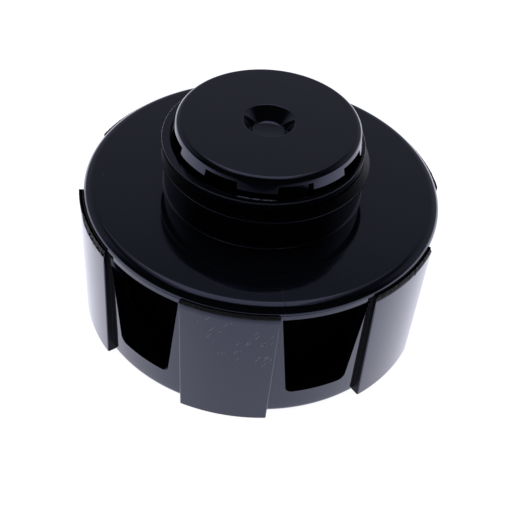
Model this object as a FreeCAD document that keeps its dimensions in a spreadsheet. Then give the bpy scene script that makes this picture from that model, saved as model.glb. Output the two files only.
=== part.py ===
import FreeCAD, Part
import math
import os
import re

import Sketcher

# Hydraulic filler and breather cap, standing upside down on its crown.
# The z axis is the cap's own axis, from the crown's face at z = 0 up to the neck.
# Air enters by six windows in the crown's skirt, passes a foam ring, and reaches
# the tank past two sprung valves in the neck and eight slots under the end disc.

# Driving dimensions in millimetres and degrees
DRIVING = {
    # Crown: a drafted cup whose rim carries the flange, with a rebate along the joint
    "crown_height": 40.25,
    "skirt_draft": 0.9,
    "crown_wall": 2.8,
    "crown_floor": 3.0,
    "crown_foot_round": 2.0,
    "floor_corner_round": 2.5,
    "rim_bar": 2.05,
    "joint_height": 0.35,
    "joint_depth": 0.6,
    # Grip pads: thick lobes on the skirt, a little narrower at the foot
    "pad_count": 6,
    "pad_rise": 1.95,
    "pad_half_angle": 15.0,
    "pad_foot_half_angle": 14.0,
    "front_pad_angle": -95.7,
    # Windows: trapezoids between the pads, up to the bar of the rim
    "window_sill": 8.5,
    "window_half_angle": 14.2,
    "window_foot_half_angle": 10.3,
    "window_corner_round": 1.8,
    # Ribs on the crown's floor: one round the foam, one round the spring
    "foam_rib_width": 1.5,
    "foam_rib_height": 2.0,
    "boss_wall": 2.05,
    "boss_height": 9.0,
    # Flange disc and neck
    "flange_radius": 49.0,
    "flange_thickness": 2.5,
    "flange_edge_round": 2.3,
    "shank_radius": 27.6,
    "shank_length": 8.8,
    "shank_root_round": 0.5,
    "bead_rise": 1.0,
    "bead_land": 1.05,
    "bead_ramp": 2.3,
    "bead_tip_drop": 0.8,
    "groove_depth": 1.2,
    "groove_width": 1.0,
    "top_ring_rise": 0.1,
    "top_ring_height": 2.1,
    "top_ring_round": 0.2,
    "mouth_wall": 1.5,
    "mouth_depth": 1.5,
    "neck_wall": 3.0,
    "snap_groove_depth": 0.7,
    "snap_groove_width": 1.9,
    "snap_groove_down": 6.3,
    # Valve seat and the posts that guide the relief plate
    "seat_hole_radius": 10.0,
    "seat_bead_radius": 11.6,
    "seat_bead_width": 1.2,
    "seat_bead_height": 0.8,
    "post_count": 4,
    "post_width": 6.0,
    "post_depth": 3.0,
    "post_length": 10.0,
    "post_gap": 0.4,
    # End disc with its castellated wall, which flares towards the neck
    "disc_overlap": 0.25,
    "disc_flare": 1.0,
    "disc_stand": 5.6,
    "disc_plate": 2.15,
    "disc_edge_round": 1.7,
    "disc_step": 1.6,
    "tab_count": 8,
    "tab_wall": 1.95,
    "tab_gap": 0.25,
    "slot_half_angle": 10.95,
    "front_tab_angle": -92.9,
    "barb_rise": 0.65,
    "barb_gap": 0.15,
    "barb_land": 0.8,
    "dimple_radius": 7.1,
    "dimple_floor_radius": 4.4,
    "dimple_depth": 3.7,
    "dimple_wall": 1.7,
    # Foam ring, its cage and gasket
    "foam_inset": 12.0,
    "foam_gap": 0.2,
    "cage_radius": 20.2,
    "cage_wall": 2.0,
    "cage_flange_inset": 1.0,
    "cage_flange_thickness": 1.5,
    "cage_slot_count": 8,
    "cage_slot_width": 7.0,
    "cage_slot_margin": 3.5,
    "gasket_inset": 0.5,
    "gasket_width": 7.5,
    "gasket_thickness": 1.8,
    # Relief valve
    "relief_radius": 14.0,
    "relief_seal_inner_radius": 8.6,
    "relief_seal_thickness": 1.5,
    "relief_plate_thickness": 1.5,
    "collar_wall": 1.0,
    "collar_height": 2.0,
    "air_hole_count": 4,
    "air_hole_radius": 1.2,
    "air_hole_circle": 3.9,
    "relief_wire_radius": 0.75,
    "relief_coil_radius": 9.3,
    "relief_turns": 5,
    "collar_gap": 0.35,
    "spring_seat_thickness": 0.8,
    "spring_seat_rim": 2.5,
    "spring_seat_wall": 0.5,
    "spring_seat_hole": 4.0,
    "spring_seat_gap": 0.25,
    "boss_gap": 0.15,
    # Vacuum valve
    "vacuum_seal_radius": 6.0,
    "vacuum_seal_thickness": 1.0,
    "vacuum_head_radius": 6.5,
    "vacuum_head_thickness": 1.5,
    "stem_radius": 1.5,
    "stem_gap": 0.05,
    "stem_tail": 1.0,
    "stem_groove_radius": 1.1,
    "vacuum_wire_radius": 0.15,
    "vacuum_coil_radius": 2.3,
    "vacuum_spring_length": 8.0,
    "vacuum_turns": 4,
    "washer_radius": 3.3,
    "washer_thickness": 0.8,
    "clip_radius": 3.2,
    "clip_thickness": 0.6,
    "clip_mouth": 1.9,
    "clip_gap": 0.05,
}

# Heights and radii that follow from the driving dimensions
DERIVED = {
    "crown_foot_radius": "flange_radius - skirt_draft",
    "pad_root_radius": "flange_radius - joint_depth / 2",
    "pad_foot_root_radius": "crown_foot_radius - 1.2 * crown_foot_round",
    "bar_top": "crown_height - joint_height",
    "bar_foot": "crown_height - rim_bar",
    "flange_top": "crown_height + flange_thickness",
    "bead_foot": "flange_top + shank_length",
    "bead_land_top": "bead_foot + bead_land",
    "bead_top": "bead_land_top + bead_ramp",
    "bead_radius": "shank_radius + bead_rise",
    "bead_tip_radius": "shank_radius - bead_tip_drop",
    "groove_radius": "shank_radius - groove_depth",
    "top_ring_radius": "shank_radius + top_ring_rise",
    "mouth_radius": "shank_radius - mouth_wall",
    "bore_radius": "shank_radius - neck_wall",
    "groove_top": "bead_top + groove_width",
    "neck_top": "groove_top + top_ring_height",
    "snap_top": "neck_top - snap_groove_down",
    "snap_foot": "snap_top - snap_groove_width",
    "snap_radius": "bore_radius + snap_groove_depth",
    "disc_top": "neck_top + disc_stand",
    "disc_radius": "bore_radius + disc_overlap",
    "slot_top": "disc_top - disc_plate",
    "step_foot": "neck_top + disc_step",
    "tab_radius": "bore_radius - tab_gap",
    "tab_inner_radius": "tab_radius - tab_wall",
    "tab_foot": "snap_foot + barb_gap",
    "seat_face": "crown_height - seat_bead_height",
    "relief_seal_foot": "seat_face - relief_seal_thickness",
    "plate_foot": "relief_seal_foot - relief_plate_thickness",
    "vacuum_head_foot": "relief_seal_foot + vacuum_seal_thickness",
    "washer_top": "plate_foot - vacuum_spring_length",
    "washer_foot": "washer_top - washer_thickness",
    "clip_foot": "washer_foot - clip_thickness",
    "stem_foot": "clip_foot - stem_tail",
    "cage_top": "crown_height - gasket_thickness",
    "cage_flange_foot": "cage_top - cage_flange_thickness",
    "foam_radius": "flange_radius - foam_inset",
    "foam_inner_radius": "cage_radius + foam_gap",
    "cage_flange_radius": "foam_radius - cage_flange_inset",
    "gasket_outer_radius": "cage_flange_radius - gasket_inset",
    "gasket_inner_radius": "gasket_outer_radius - gasket_width",
    "foam_rib_radius": "foam_radius + foam_gap",
    "spring_seat_radius": "relief_coil_radius + relief_wire_radius + spring_seat_gap + spring_seat_wall",
    "boss_pocket_radius": "spring_seat_radius + boss_gap",
    "spring_foot": "crown_floor + spring_seat_thickness",
    "collar_radius": "relief_coil_radius - relief_wire_radius - collar_gap",
}

TOLERANCE = 1e-4
WIRE_SIDES = 6

doc = FreeCAD.newDocument("FillerCap")


def make_sheet():
    """Writes both groups of sizes into the sheet, one alias to a row."""
    sheet = doc.addObject("Spreadsheet::Sheet", "Sizes")
    cells = {name: str(value) for name, value in DRIVING.items()}
    cells.update({name: "=" + formula for name, formula in DERIVED.items()})
    for row, name in enumerate(cells, start=1):
        sheet.set(f"A{row}", name)
        sheet.setAlias(f"B{row}", name)
    for row, content in enumerate(cells.values(), start=1):
        sheet.set(f"B{row}", content)
    doc.recompute()
    return sheet


sheet = make_sheet()


def size(name):
    """The value of one size of the sheet, in millimetres or degrees."""
    return float(sheet.get(name))


def bound(text):
    """An expression over the sheet: each size's word gets the sheet's name in front."""

    def with_sheet(match):
        word = match.group()
        return "Sizes." + word if word in DRIVING or word in DERIVED else word

    return re.sub(r"[a-z_]+", with_sheet, text)


def new_body(label):
    """A new body; its label names the piece and its file."""
    body = doc.addObject("PartDesign::Body", label)
    body.Label = label
    return body


def origin_feature(body, role):
    """The plane or axis of the body's own origin that has this role."""
    for feature in body.Origin.OriginFeatures:
        if feature.Role == role:
            return feature
    raise ValueError(f"{body.Label} has no {role}")


def new_sketch(body, name, role, lift="0", turn="0"):
    """An empty sketch on an origin plane, lifted along its normal and turned in the plane."""
    sketch = body.newObject("Sketcher::SketchObject", name)
    sketch.AttachmentSupport = [(origin_feature(body, role), "")]
    sketch.MapMode = "FlatFace"
    sketch.setExpression("AttachmentOffset.Base.z", bound(lift))
    sketch.AttachmentOffset = FreeCAD.Placement(
        FreeCAD.Vector(0, 0, 0), FreeCAD.Rotation(FreeCAD.Vector(0, 0, 1), 0)
    )
    sketch.setExpression("AttachmentOffset.Rotation.Angle", bound(turn))
    return sketch


def tie(sketch, kind, place, start, formula):
    """Adds one dimension to a sketch and binds it to the sheet."""
    index = sketch.addConstraint(Sketcher.Constraint(kind, *place, start))
    sketch.setExpression(f"Constraints[{index}]", bound(formula))


def draw_outline(sketch, corners):
    """A closed outline of straight sides whose corners are (across, up) formulas."""
    count = len(corners)
    start = [
        FreeCAD.Vector(10 + 5 * math.cos(turn), 10 + 5 * math.sin(turn), 0)
        for turn in (2 * math.pi * index / count for index in range(count))
    ]
    for index in range(count):
        sketch.addGeometry(Part.LineSegment(start[index], start[(index + 1) % count]), False)
    for index in range(count):
        sketch.addConstraint(Sketcher.Constraint("Coincident", index, 2, (index + 1) % count, 1))
    for index, (across, up) in enumerate(corners):
        tie(sketch, "DistanceX", (-1, 1, index, 1), start[index].x, across)
        tie(sketch, "DistanceY", (-1, 1, index, 1), start[index].y, up)


def draw_circle(sketch, radius, across="0"):
    """A circle on the sketch's horizontal axis."""
    index = sketch.addGeometry(Part.Circle(FreeCAD.Vector(1, 0, 0), FreeCAD.Vector(0, 0, 1), 1), False)
    tie(sketch, "DistanceX", (-1, 1, index, 3), 1.0, across)
    tie(sketch, "DistanceY", (-1, 1, index, 3), 0.0, "0")
    tie(sketch, "Radius", (index,), 1.0, radius)


def draw_sector(sketch, inner, outer, half_angle):
    """A slice of a ring, symmetric about the sketch's horizontal axis."""
    centre, up = FreeCAD.Vector(0, 0, 0), FreeCAD.Vector(0, 0, 1)
    half = math.radians(15)
    for radius in (45.0, 50.0):
        sketch.addGeometry(Part.ArcOfCircle(Part.Circle(centre, up, radius), -half, half), False)
    for side in (-1, 1):
        ends = [
            FreeCAD.Vector(radius * math.cos(half), side * radius * math.sin(half), 0)
            for radius in (45.0, 50.0)
        ]
        sketch.addGeometry(Part.LineSegment(*ends), False)
    for arc, radius, start in ((0, inner, 45.0), (1, outer, 50.0)):
        sketch.addConstraint(Sketcher.Constraint("Coincident", arc, 3, -1, 1))
        tie(sketch, "Radius", (arc,), start, radius)
        for line, arc_end, side in ((2, 1, -1), (3, 2, 1)):
            sketch.addConstraint(Sketcher.Constraint("Coincident", arc, arc_end, line, arc + 1))
            height = side * start * math.sin(half)
            formula = f"{side} * ({radius}) * sin({half_angle})"
            tie(sketch, "DistanceY", (-1, 1, arc, arc_end), height, formula)


def revolve(body, name, corners):
    """A turned solid: its outline is radius across and height up."""
    sketch = new_sketch(body, name + "_outline", "XZ_Plane")
    draw_outline(sketch, corners)
    turned = body.newObject("PartDesign::Revolution", name)
    turned.Profile = sketch
    turned.ReferenceAxis = (sketch, ["V_Axis"])
    turned.Angle = 360
    return turned


def pad(body, name, sketch, length, downwards=False):
    """A straight pad of a sketch."""
    grown = body.newObject("PartDesign::Pad", name)
    grown.Profile = sketch
    grown.setExpression("Length", bound(length))
    grown.Reversed = downwards
    return grown


def pocket(body, name, sketch, length, along_normal=False):
    """A straight pocket of a sketch, checked to take something away."""
    doc.recompute()
    before = body.Shape.Volume
    cut = body.newObject("PartDesign::Pocket", name)
    cut.Profile = sketch
    cut.setExpression("Length", bound(length))
    cut.Reversed = along_normal
    doc.recompute()
    if body.Shape.Volume > before - TOLERANCE:
        raise RuntimeError(f"{name} cuts nothing")
    return cut


def repeat_round(body, name, feature, count):
    """Copies of one feature, evenly spaced round the z axis."""
    pattern = body.newObject("PartDesign::PolarPattern", name)
    pattern.Originals = [feature]
    pattern.Axis = (origin_feature(body, "Z_Axis"), [""])
    pattern.Angle = 360
    pattern.setExpression("Occurrences", bound(count))
    body.Tip = pattern
    return pattern


def ring_edge(radius, height):
    """A test for the circular edge of this radius and height about the z axis."""

    def fits(edge):
        curve = edge.Curve
        return (
            isinstance(curve, Part.Circle)
            and abs(curve.Radius - radius) < TOLERANCE
            and abs(curve.Center.z - height) < TOLERANCE
        )

    return fits


def round_edges(body, name, fits, radius):
    """A fillet on every edge of the body that passes the test."""
    doc.recompute()
    base = body.Tip
    edges = [f"Edge{index}" for index, edge in enumerate(base.Shape.Edges, start=1) if fits(edge)]
    if not edges:
        raise RuntimeError(f"{name} finds no edge")
    fillet = body.newObject("PartDesign::Fillet", name)
    fillet.Base = (base, edges)
    fillet.setExpression("Radius", bound(radius))
    return fillet


def turn_about_axis(body, angle):
    """Turns a whole piece about the z axis by an angle formula."""
    body.setExpression("Placement.Rotation.Angle", bound(angle))


def make_crown_shell():
    """Drafted cup with a rebated rim, grip pads and windows.

    One window is centred on the local x axis and the pads stand between the windows."""
    body = new_body("crown_shell")
    revolve(body, "cup", [
        ("0", "0"),
        ("crown_foot_radius", "0"),
        ("flange_radius", "bar_foot"),
        ("flange_radius", "bar_top"),
        ("flange_radius - joint_depth", "bar_top"),
        ("flange_radius - joint_depth", "crown_height"),
        ("flange_radius - crown_wall", "crown_height"),
        ("flange_radius - crown_wall", "bar_foot"),
        ("crown_foot_radius - crown_wall", "crown_floor"),
        ("foam_rib_radius + foam_rib_width", "crown_floor"),
        ("foam_rib_radius + foam_rib_width", "crown_floor + foam_rib_height"),
        ("foam_rib_radius", "crown_floor + foam_rib_height"),
        ("foam_rib_radius", "crown_floor"),
        ("boss_pocket_radius + boss_wall", "crown_floor"),
        ("boss_pocket_radius + boss_wall", "crown_floor + boss_height"),
        ("boss_pocket_radius", "crown_floor + boss_height"),
        ("boss_pocket_radius", "crown_floor"),
        ("0", "crown_floor"),
    ])
    foot_edge = ring_edge(size("crown_foot_radius"), 0)
    round_edges(body, "foot_round", foot_edge, "crown_foot_round")
    corner_edge = ring_edge(size("crown_foot_radius") - size("crown_wall"), size("crown_floor"))
    beside = "(crown_foot_radius - crown_wall - foam_rib_radius - foam_rib_width)"
    round_edges(body, "floor_corner", corner_edge, f"min(floor_corner_round; {beside} * 0.9)")

    between = "180 / pad_count"
    foot = new_sketch(body, "pad_foot_outline", "XY_Plane", turn=between)
    draw_sector(foot, "pad_foot_root_radius", "crown_foot_radius + pad_rise",
                "pad_foot_half_angle")
    head = new_sketch(body, "pad_head_outline", "XY_Plane", lift="bar_top", turn=between)
    draw_sector(head, "pad_root_radius", "flange_radius + pad_rise", "pad_half_angle")
    grip = body.newObject("PartDesign::AdditiveLoft", "grip_pad")
    grip.Profile = foot
    grip.Sections = [head]
    grip.Ruled = True
    repeat_round(body, "grip_pads", grip, "pad_count")

    inside = "crown_foot_radius - 2 * crown_wall"
    opening = new_sketch(body, "window_outline", "YZ_Plane", lift=inside)
    head_half = "flange_radius * sin(window_half_angle)"
    foot_half = "crown_foot_radius * sin(window_foot_half_angle)"
    draw_outline(opening, [
        (f"-({foot_half})", "window_sill"),
        (foot_half, "window_sill"),
        (head_half, "bar_foot"),
        (f"-({head_half})", "bar_foot"),
    ])
    window = pocket(body, "window", opening, "flange_radius + 3 * crown_wall - crown_foot_radius", True)
    repeat_round(body, "windows", window, "pad_count")

    def sill_corner(edge):
        """A straight edge through the wall at the end of a window's sill."""
        heights = [vertex.Point.z for vertex in edge.Vertexes]
        straight = isinstance(edge.Curve, Part.Line)
        return straight and all(abs(z - size("window_sill")) < TOLERANCE for z in heights)

    round_edges(body, "window_corners", sill_corner, "window_corner_round")
    turn_about_axis(body, f"front_pad_angle - {between}")
    return body


def make_neck_body():
    """Flange disc that closes the crown, the stepped neck, the valve seat and its guide posts."""
    body = new_body("neck_body")
    bead_half = "seat_bead_width / 2"
    revolve(body, "neck", [
        ("seat_hole_radius", "crown_height"),
        (f"seat_bead_radius - {bead_half}", "crown_height"),
        (f"seat_bead_radius - {bead_half} / 2", "seat_face"),
        (f"seat_bead_radius + {bead_half} / 2", "seat_face"),
        (f"seat_bead_radius + {bead_half}", "crown_height"),
        ("flange_radius", "crown_height"),
        ("flange_radius", "flange_top"),
        ("shank_radius", "flange_top"),
        ("shank_radius", "bead_foot"),
        ("bead_radius", "bead_foot"),
        ("bead_radius", "bead_land_top"),
        ("bead_tip_radius", "bead_top"),
        ("groove_radius", "bead_top"),
        ("groove_radius", "groove_top"),
        ("top_ring_radius", "groove_top"),
        ("top_ring_radius", "neck_top"),
        ("mouth_radius", "neck_top"),
        ("bore_radius", "neck_top - mouth_depth"),
        ("bore_radius", "snap_top"),
        ("snap_radius", "snap_top"),
        ("snap_radius", "snap_foot"),
        ("bore_radius", "snap_foot"),
        ("bore_radius", "flange_top"),
        ("seat_hole_radius", "flange_top"),
    ])
    edge_round = "min(flange_edge_round; flange_thickness * 0.95)"
    round_edges(body, "flange_edge", ring_edge(size("flange_radius"), size("flange_top")), edge_round)
    round_edges(body, "shank_root", ring_edge(size("shank_radius"), size("flange_top")),
                "shank_root_round")
    round_edges(body, "top_ring_edge", ring_edge(size("top_ring_radius"), size("neck_top")),
                "top_ring_round")

    outline = new_sketch(body, "post_outline", "XY_Plane", lift="crown_height")
    inner = "relief_radius + post_gap"
    draw_outline(outline, [
        (inner, "-post_width / 2"),
        (f"{inner} + post_depth", "-post_width / 2"),
        (f"{inner} + post_depth", "post_width / 2"),
        (inner, "post_width / 2"),
    ])
    post = pad(body, "guide_post", outline, "post_length", downwards=True)
    repeat_round(body, "guide_posts", post, "post_count")
    return body


def make_end_disc():
    """Cover of the neck: a plate with a dimple and a castellated wall that snaps into the bore.

    A slot is centred on the local x axis and the tabs stand between the slots."""
    body = new_body("end_disc")
    revolve(body, "cover", [
        ("0", "disc_top - dimple_depth"),
        ("dimple_floor_radius", "disc_top - dimple_depth"),
        ("dimple_radius", "disc_top"),
        ("disc_radius", "disc_top"),
        ("disc_radius + disc_flare", "step_foot"),
        ("tab_radius", "step_foot"),
        ("tab_radius", "snap_top - barb_gap"),
        ("tab_radius + barb_rise", "snap_top - barb_gap"),
        ("tab_radius + barb_rise", "snap_top - barb_gap - barb_land"),
        ("tab_radius", "tab_foot"),
        ("tab_inner_radius", "tab_foot"),
        ("tab_inner_radius", "slot_top"),
        ("dimple_radius + dimple_wall / 2", "slot_top"),
        ("dimple_floor_radius + dimple_wall", "disc_top - dimple_depth - dimple_wall"),
        ("0", "disc_top - dimple_depth - dimple_wall"),
    ])
    round_edges(body, "disc_edge", ring_edge(size("disc_radius"), size("disc_top")),
                "disc_edge_round")

    outline = new_sketch(body, "slot_outline", "XY_Plane", lift="slot_top")
    half = "disc_radius * sin(slot_half_angle)"
    inner, outer = "tab_inner_radius - tab_wall", "disc_radius + disc_flare + tab_wall"
    draw_outline(outline, [
        (inner, f"-({half})"), (outer, f"-({half})"), (outer, half), (inner, half),
    ])
    slot = pocket(body, "slot", outline, "slot_top - tab_foot + barb_land")
    repeat_round(body, "slots", slot, "tab_count")
    turn_about_axis(body, "front_tab_angle - 180 / tab_count")
    return body


def make_foam_filter():
    """Plain foam ring between the crown's floor and the cage's flange."""
    body = new_body("foam_filter")
    revolve(body, "foam", [
        ("foam_inner_radius", "crown_floor"),
        ("foam_radius", "crown_floor"),
        ("foam_radius", "cage_flange_foot"),
        ("foam_inner_radius", "cage_flange_foot"),
    ])
    return body


def make_filter_cage():
    """Slotted core tube with a flange that presses on the foam."""
    body = new_body("filter_cage")
    inner = "cage_radius - cage_wall"
    revolve(body, "tube", [
        (inner, "crown_floor"),
        ("cage_radius", "crown_floor"),
        ("cage_radius", "cage_flange_foot"),
        ("cage_flange_radius", "cage_flange_foot"),
        ("cage_flange_radius", "cage_top"),
        (inner, "cage_top"),
    ])
    outline = new_sketch(body, "air_slot_outline", "YZ_Plane", lift=f"{inner} - cage_wall")
    foot = "crown_floor + cage_slot_margin"
    top = "cage_flange_foot - cage_slot_margin"
    half = "cage_slot_width / 2"
    draw_outline(outline, [(f"-{half}", foot), (half, foot), (half, top), (f"-{half}", top)])
    slot = pocket(body, "air_slot", outline, "3 * cage_wall", True)
    repeat_round(body, "air_slots", slot, "cage_slot_count")
    return body


def make_ring(label, inner, outer, foot, top):
    """A flat ring, such as a washer or a seal."""
    body = new_body(label)
    revolve(body, label + "_ring", [(inner, foot), (outer, foot), (outer, top), (inner, top)])
    return body


def make_spring_seat():
    """Steel washer with an upturned rim round the relief spring's foot."""
    body = new_body("spring_seat")
    rim_inner = "spring_seat_radius - spring_seat_wall"
    revolve(body, "seat_cup", [
        ("spring_seat_hole", "crown_floor"),
        ("spring_seat_radius", "crown_floor"),
        ("spring_seat_radius", "crown_floor + spring_seat_rim"),
        (rim_inner, "crown_floor + spring_seat_rim"),
        (rim_inner, "spring_foot"),
        ("spring_seat_hole", "spring_foot"),
    ])
    return body


def make_relief_plate():
    """Valve plate with a stem hole, air holes and a collar inside the relief spring."""
    body = new_body("relief_plate")
    stem_hole = "stem_radius + stem_gap"
    revolve(body, "plate", [
        (stem_hole, "plate_foot"),
        ("collar_radius - collar_wall", "plate_foot"),
        ("collar_radius - collar_wall", "plate_foot - collar_height"),
        ("collar_radius", "plate_foot - collar_height"),
        ("collar_radius", "plate_foot"),
        ("relief_radius", "plate_foot"),
        ("relief_radius", "relief_seal_foot"),
        (stem_hole, "relief_seal_foot"),
    ])
    outline = new_sketch(body, "air_hole_outline", "XY_Plane", lift="relief_seal_foot")
    draw_circle(outline, "air_hole_radius", across="air_hole_circle")
    hole = pocket(body, "air_hole", outline, "2 * relief_plate_thickness")
    repeat_round(body, "air_holes", hole, "air_hole_count")
    return body


def make_vacuum_poppet():
    """Flat head on a grooved stem."""
    body = new_body("vacuum_poppet")
    revolve(body, "poppet", [
        ("0", "stem_foot"),
        ("stem_radius", "stem_foot"),
        ("stem_radius", "clip_foot - clip_gap"),
        ("stem_groove_radius", "clip_foot - clip_gap"),
        ("stem_groove_radius", "washer_foot"),
        ("stem_radius", "washer_foot"),
        ("stem_radius", "vacuum_head_foot"),
        ("vacuum_head_radius", "vacuum_head_foot"),
        ("vacuum_head_radius", "vacuum_head_foot + vacuum_head_thickness"),
        ("0", "vacuum_head_foot + vacuum_head_thickness"),
    ])
    return body


def make_stem_clip():
    """Open clip in the stem's groove, its mouth towards the local x axis."""
    body = make_ring("stem_clip", "stem_groove_radius + clip_gap", "clip_radius", "clip_foot",
                     "washer_foot")
    outline = new_sketch(body, "mouth_outline", "XY_Plane", lift="washer_foot")
    half = "clip_mouth / 2"
    draw_outline(outline, [
        ("0", f"-{half}"), ("2 * clip_radius", f"-{half}"), ("2 * clip_radius", half), ("0", half),
    ])
    pocket(body, "mouth", outline, "2 * clip_thickness")
    return body


def make_spring(label, coil_radius, wire_radius, foot, top, turns):
    """Wire wound as one helix, with both ends ground flat.

    The wire's section is a polygon across the helix at its start."""
    length = top - foot
    helix = Part.makeHelix(length / turns, length, coil_radius)
    along = helix.Edges[0].tangentAt(helix.Edges[0].FirstParameter)
    outwards = FreeCAD.Vector(wire_radius, 0, 0)
    upwards = along.cross(outwards)
    centre = FreeCAD.Vector(coil_radius, 0, 0)
    corners = [
        centre + outwards * math.cos(turn) + upwards * math.sin(turn)
        for turn in (2 * math.pi * index / WIRE_SIDES for index in range(WIRE_SIDES + 1))
    ]
    coil = Part.Wire(helix.Edges).makePipeShell([Part.makePolygon(corners)], True, True)
    ground = Part.makeCylinder(coil_radius + 2 * wire_radius, length)
    feature = doc.addObject("Part::Feature", label)
    feature.Label = label
    feature.Shape = coil.common(ground)
    feature.Placement = FreeCAD.Placement(FreeCAD.Vector(0, 0, foot), FreeCAD.Rotation())
    return feature


def make_relief_spring():
    """Spring between its seat on the crown's floor and the relief plate."""
    return make_spring("relief_spring", size("relief_coil_radius"), size("relief_wire_radius"),
                       size("spring_foot"), size("plate_foot"), size("relief_turns"))


def make_vacuum_spring():
    """Light spring between the relief plate and the washer on the stem."""
    return make_spring("vacuum_spring", size("vacuum_coil_radius"), size("vacuum_wire_radius"),
                       size("washer_top"), size("plate_foot"), size("vacuum_turns"))


def check_built(pieces):
    """Stops if an object failed or a piece has no valid single solid."""
    for item in doc.Objects:
        if "Invalid" in item.State or "Error" in item.State:
            raise RuntimeError(f"{item.Name} failed: {item.State}")
    for piece in pieces:
        shape = piece.Shape
        if shape.isNull() or not shape.isValid() or len(shape.Solids) != 1:
            raise RuntimeError(f"{piece.Label} has no valid single solid")


def export(pieces):
    """Writes each piece to its own file, named after its label."""
    os.makedirs("parts", exist_ok=True)
    for piece in pieces:
        piece.Shape.exportStep(f"parts/{piece.Label}.step")


pieces = [
    make_crown_shell(),
    make_neck_body(),
    make_end_disc(),
    make_foam_filter(),
    make_filter_cage(),
    make_ring("cage_gasket", "gasket_inner_radius", "gasket_outer_radius", "cage_top",
              "crown_height"),
    make_spring_seat(),
    make_relief_plate(),
    make_ring("relief_seal", "relief_seal_inner_radius", "relief_radius", "relief_seal_foot",
              "seat_face"),
    make_vacuum_poppet(),
    make_ring("vacuum_seal", "stem_radius", "vacuum_seal_radius", "relief_seal_foot",
              "vacuum_head_foot"),
    make_ring("stem_washer", "stem_radius + stem_gap", "washer_radius", "washer_foot",
              "washer_top"),
    make_stem_clip(),
    make_relief_spring(),
    make_vacuum_spring(),
]
doc.recompute()
check_built(pieces)
export(pieces)
for piece in pieces:
    print(f"{piece.Label}: {piece.Shape.Volume / 1000:.3f} cm3")
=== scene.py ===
"""Hydraulic filler and breather cap in moulded black nylon, standing on its crown.

Lengths in the classes are millimetres and angles are degrees; finished meshes are
scaled to metres. The z axis is the cap's own axis, and the crown's face is at z = 0.
"""

import logging
import math
from collections.abc import Callable, Iterable, Iterator
from dataclasses import dataclass
from enum import Enum

import bmesh
import bpy
from mathutils import Matrix, Vector, noise

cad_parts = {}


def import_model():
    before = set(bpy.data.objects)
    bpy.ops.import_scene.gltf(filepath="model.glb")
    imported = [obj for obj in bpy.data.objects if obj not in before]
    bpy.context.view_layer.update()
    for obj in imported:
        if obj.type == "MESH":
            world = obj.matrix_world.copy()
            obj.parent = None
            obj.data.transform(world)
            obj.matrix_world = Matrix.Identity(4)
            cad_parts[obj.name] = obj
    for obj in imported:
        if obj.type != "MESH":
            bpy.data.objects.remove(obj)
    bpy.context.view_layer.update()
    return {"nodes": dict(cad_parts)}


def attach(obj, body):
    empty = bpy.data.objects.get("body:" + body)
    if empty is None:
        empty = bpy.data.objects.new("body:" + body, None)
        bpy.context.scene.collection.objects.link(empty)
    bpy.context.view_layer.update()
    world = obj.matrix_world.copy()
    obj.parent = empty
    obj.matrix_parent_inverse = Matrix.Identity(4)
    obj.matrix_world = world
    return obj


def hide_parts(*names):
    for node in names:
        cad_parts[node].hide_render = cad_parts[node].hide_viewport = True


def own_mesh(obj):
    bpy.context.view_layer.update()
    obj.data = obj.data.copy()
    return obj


LOG = logging.getLogger("filler_cap")

# One millimetre in metres
MM = 0.001
# Vertices nearer than this are merged, in millimetres
MERGE = 2e-3
# Two heights or radii nearer than this are the same, in millimetres
TOUCH = 1e-3

Corner = tuple[float, float]


class Body(Enum):
    """The bodies that pieces ride on."""

    CAP = "cap_body"
    RELIEF = "relief_valve"


class Slot(Enum):
    """The record's material slots, by name."""

    SHELL = "black_shell"
    FOAM = "foam"
    SPRING = "spring_steel"


# ---------------------------------------------------------------- node materials


def linear(hex_colour: str) -> tuple[float, float, float, float]:
    """Turns an sRGB hex colour into a linear one.

    Args:
        hex_colour: six hex digits.

    Returns:
        Linear red, green, blue and an alpha of 1.
    """
    parts = [int(hex_colour[start:start + 2], 16) / 255 for start in (0, 2, 4)]
    red, green, blue = (
        part / 12.92 if part <= 0.04045 else ((part + 0.055) / 1.055) ** 2.4 for part in parts
    )
    return (red, green, blue, 1.0)


def add_node(tree: bpy.types.NodeTree, kind: str, feeds: dict | None = None,
             **settings: object) -> bpy.types.Node:
    """Adds a node with its settings and links.

    Args:
        tree: the node tree of a material or of the world.
        kind: the node's type name.
        feeds: a socket to link from, or a value, by input name or number.
        settings: the node's own properties.

    Returns:
        The new node.
    """
    node = tree.nodes.new(kind)
    for name, value in settings.items():
        setattr(node, name, value)
    for key, source in (feeds or {}).items():
        if isinstance(source, bpy.types.NodeSocket):
            tree.links.new(source, node.inputs[key])
        else:
            node.inputs[key].default_value = source
    return node


def set_ramp(node: bpy.types.Node, stops: list[tuple[float, str]]) -> bpy.types.Node:
    """Gives a colour ramp its stops.

    Args:
        node: a ColorRamp node.
        stops: position and sRGB hex colour of each stop, in order.

    Returns:
        The same node.
    """
    elements = node.color_ramp.elements
    while len(elements) < len(stops):
        elements.new(0.5)
    for element, (place, colour) in zip(elements, stops):
        element.position = place
        element.color = linear(colour)
    return node


def new_material(
        name: str) -> tuple[bpy.types.Material, bpy.types.NodeTree, bpy.types.NodeSocket]:
    """Starts a node material.

    Args:
        name: the material's name.

    Returns:
        The material, its tree and the socket of its Object coordinates.
    """
    material = bpy.data.materials.new(name)
    material.use_nodes = True
    tree = material.node_tree
    tree.nodes.clear()
    return material, tree, add_node(tree, "ShaderNodeTexCoord").outputs["Object"]


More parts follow.
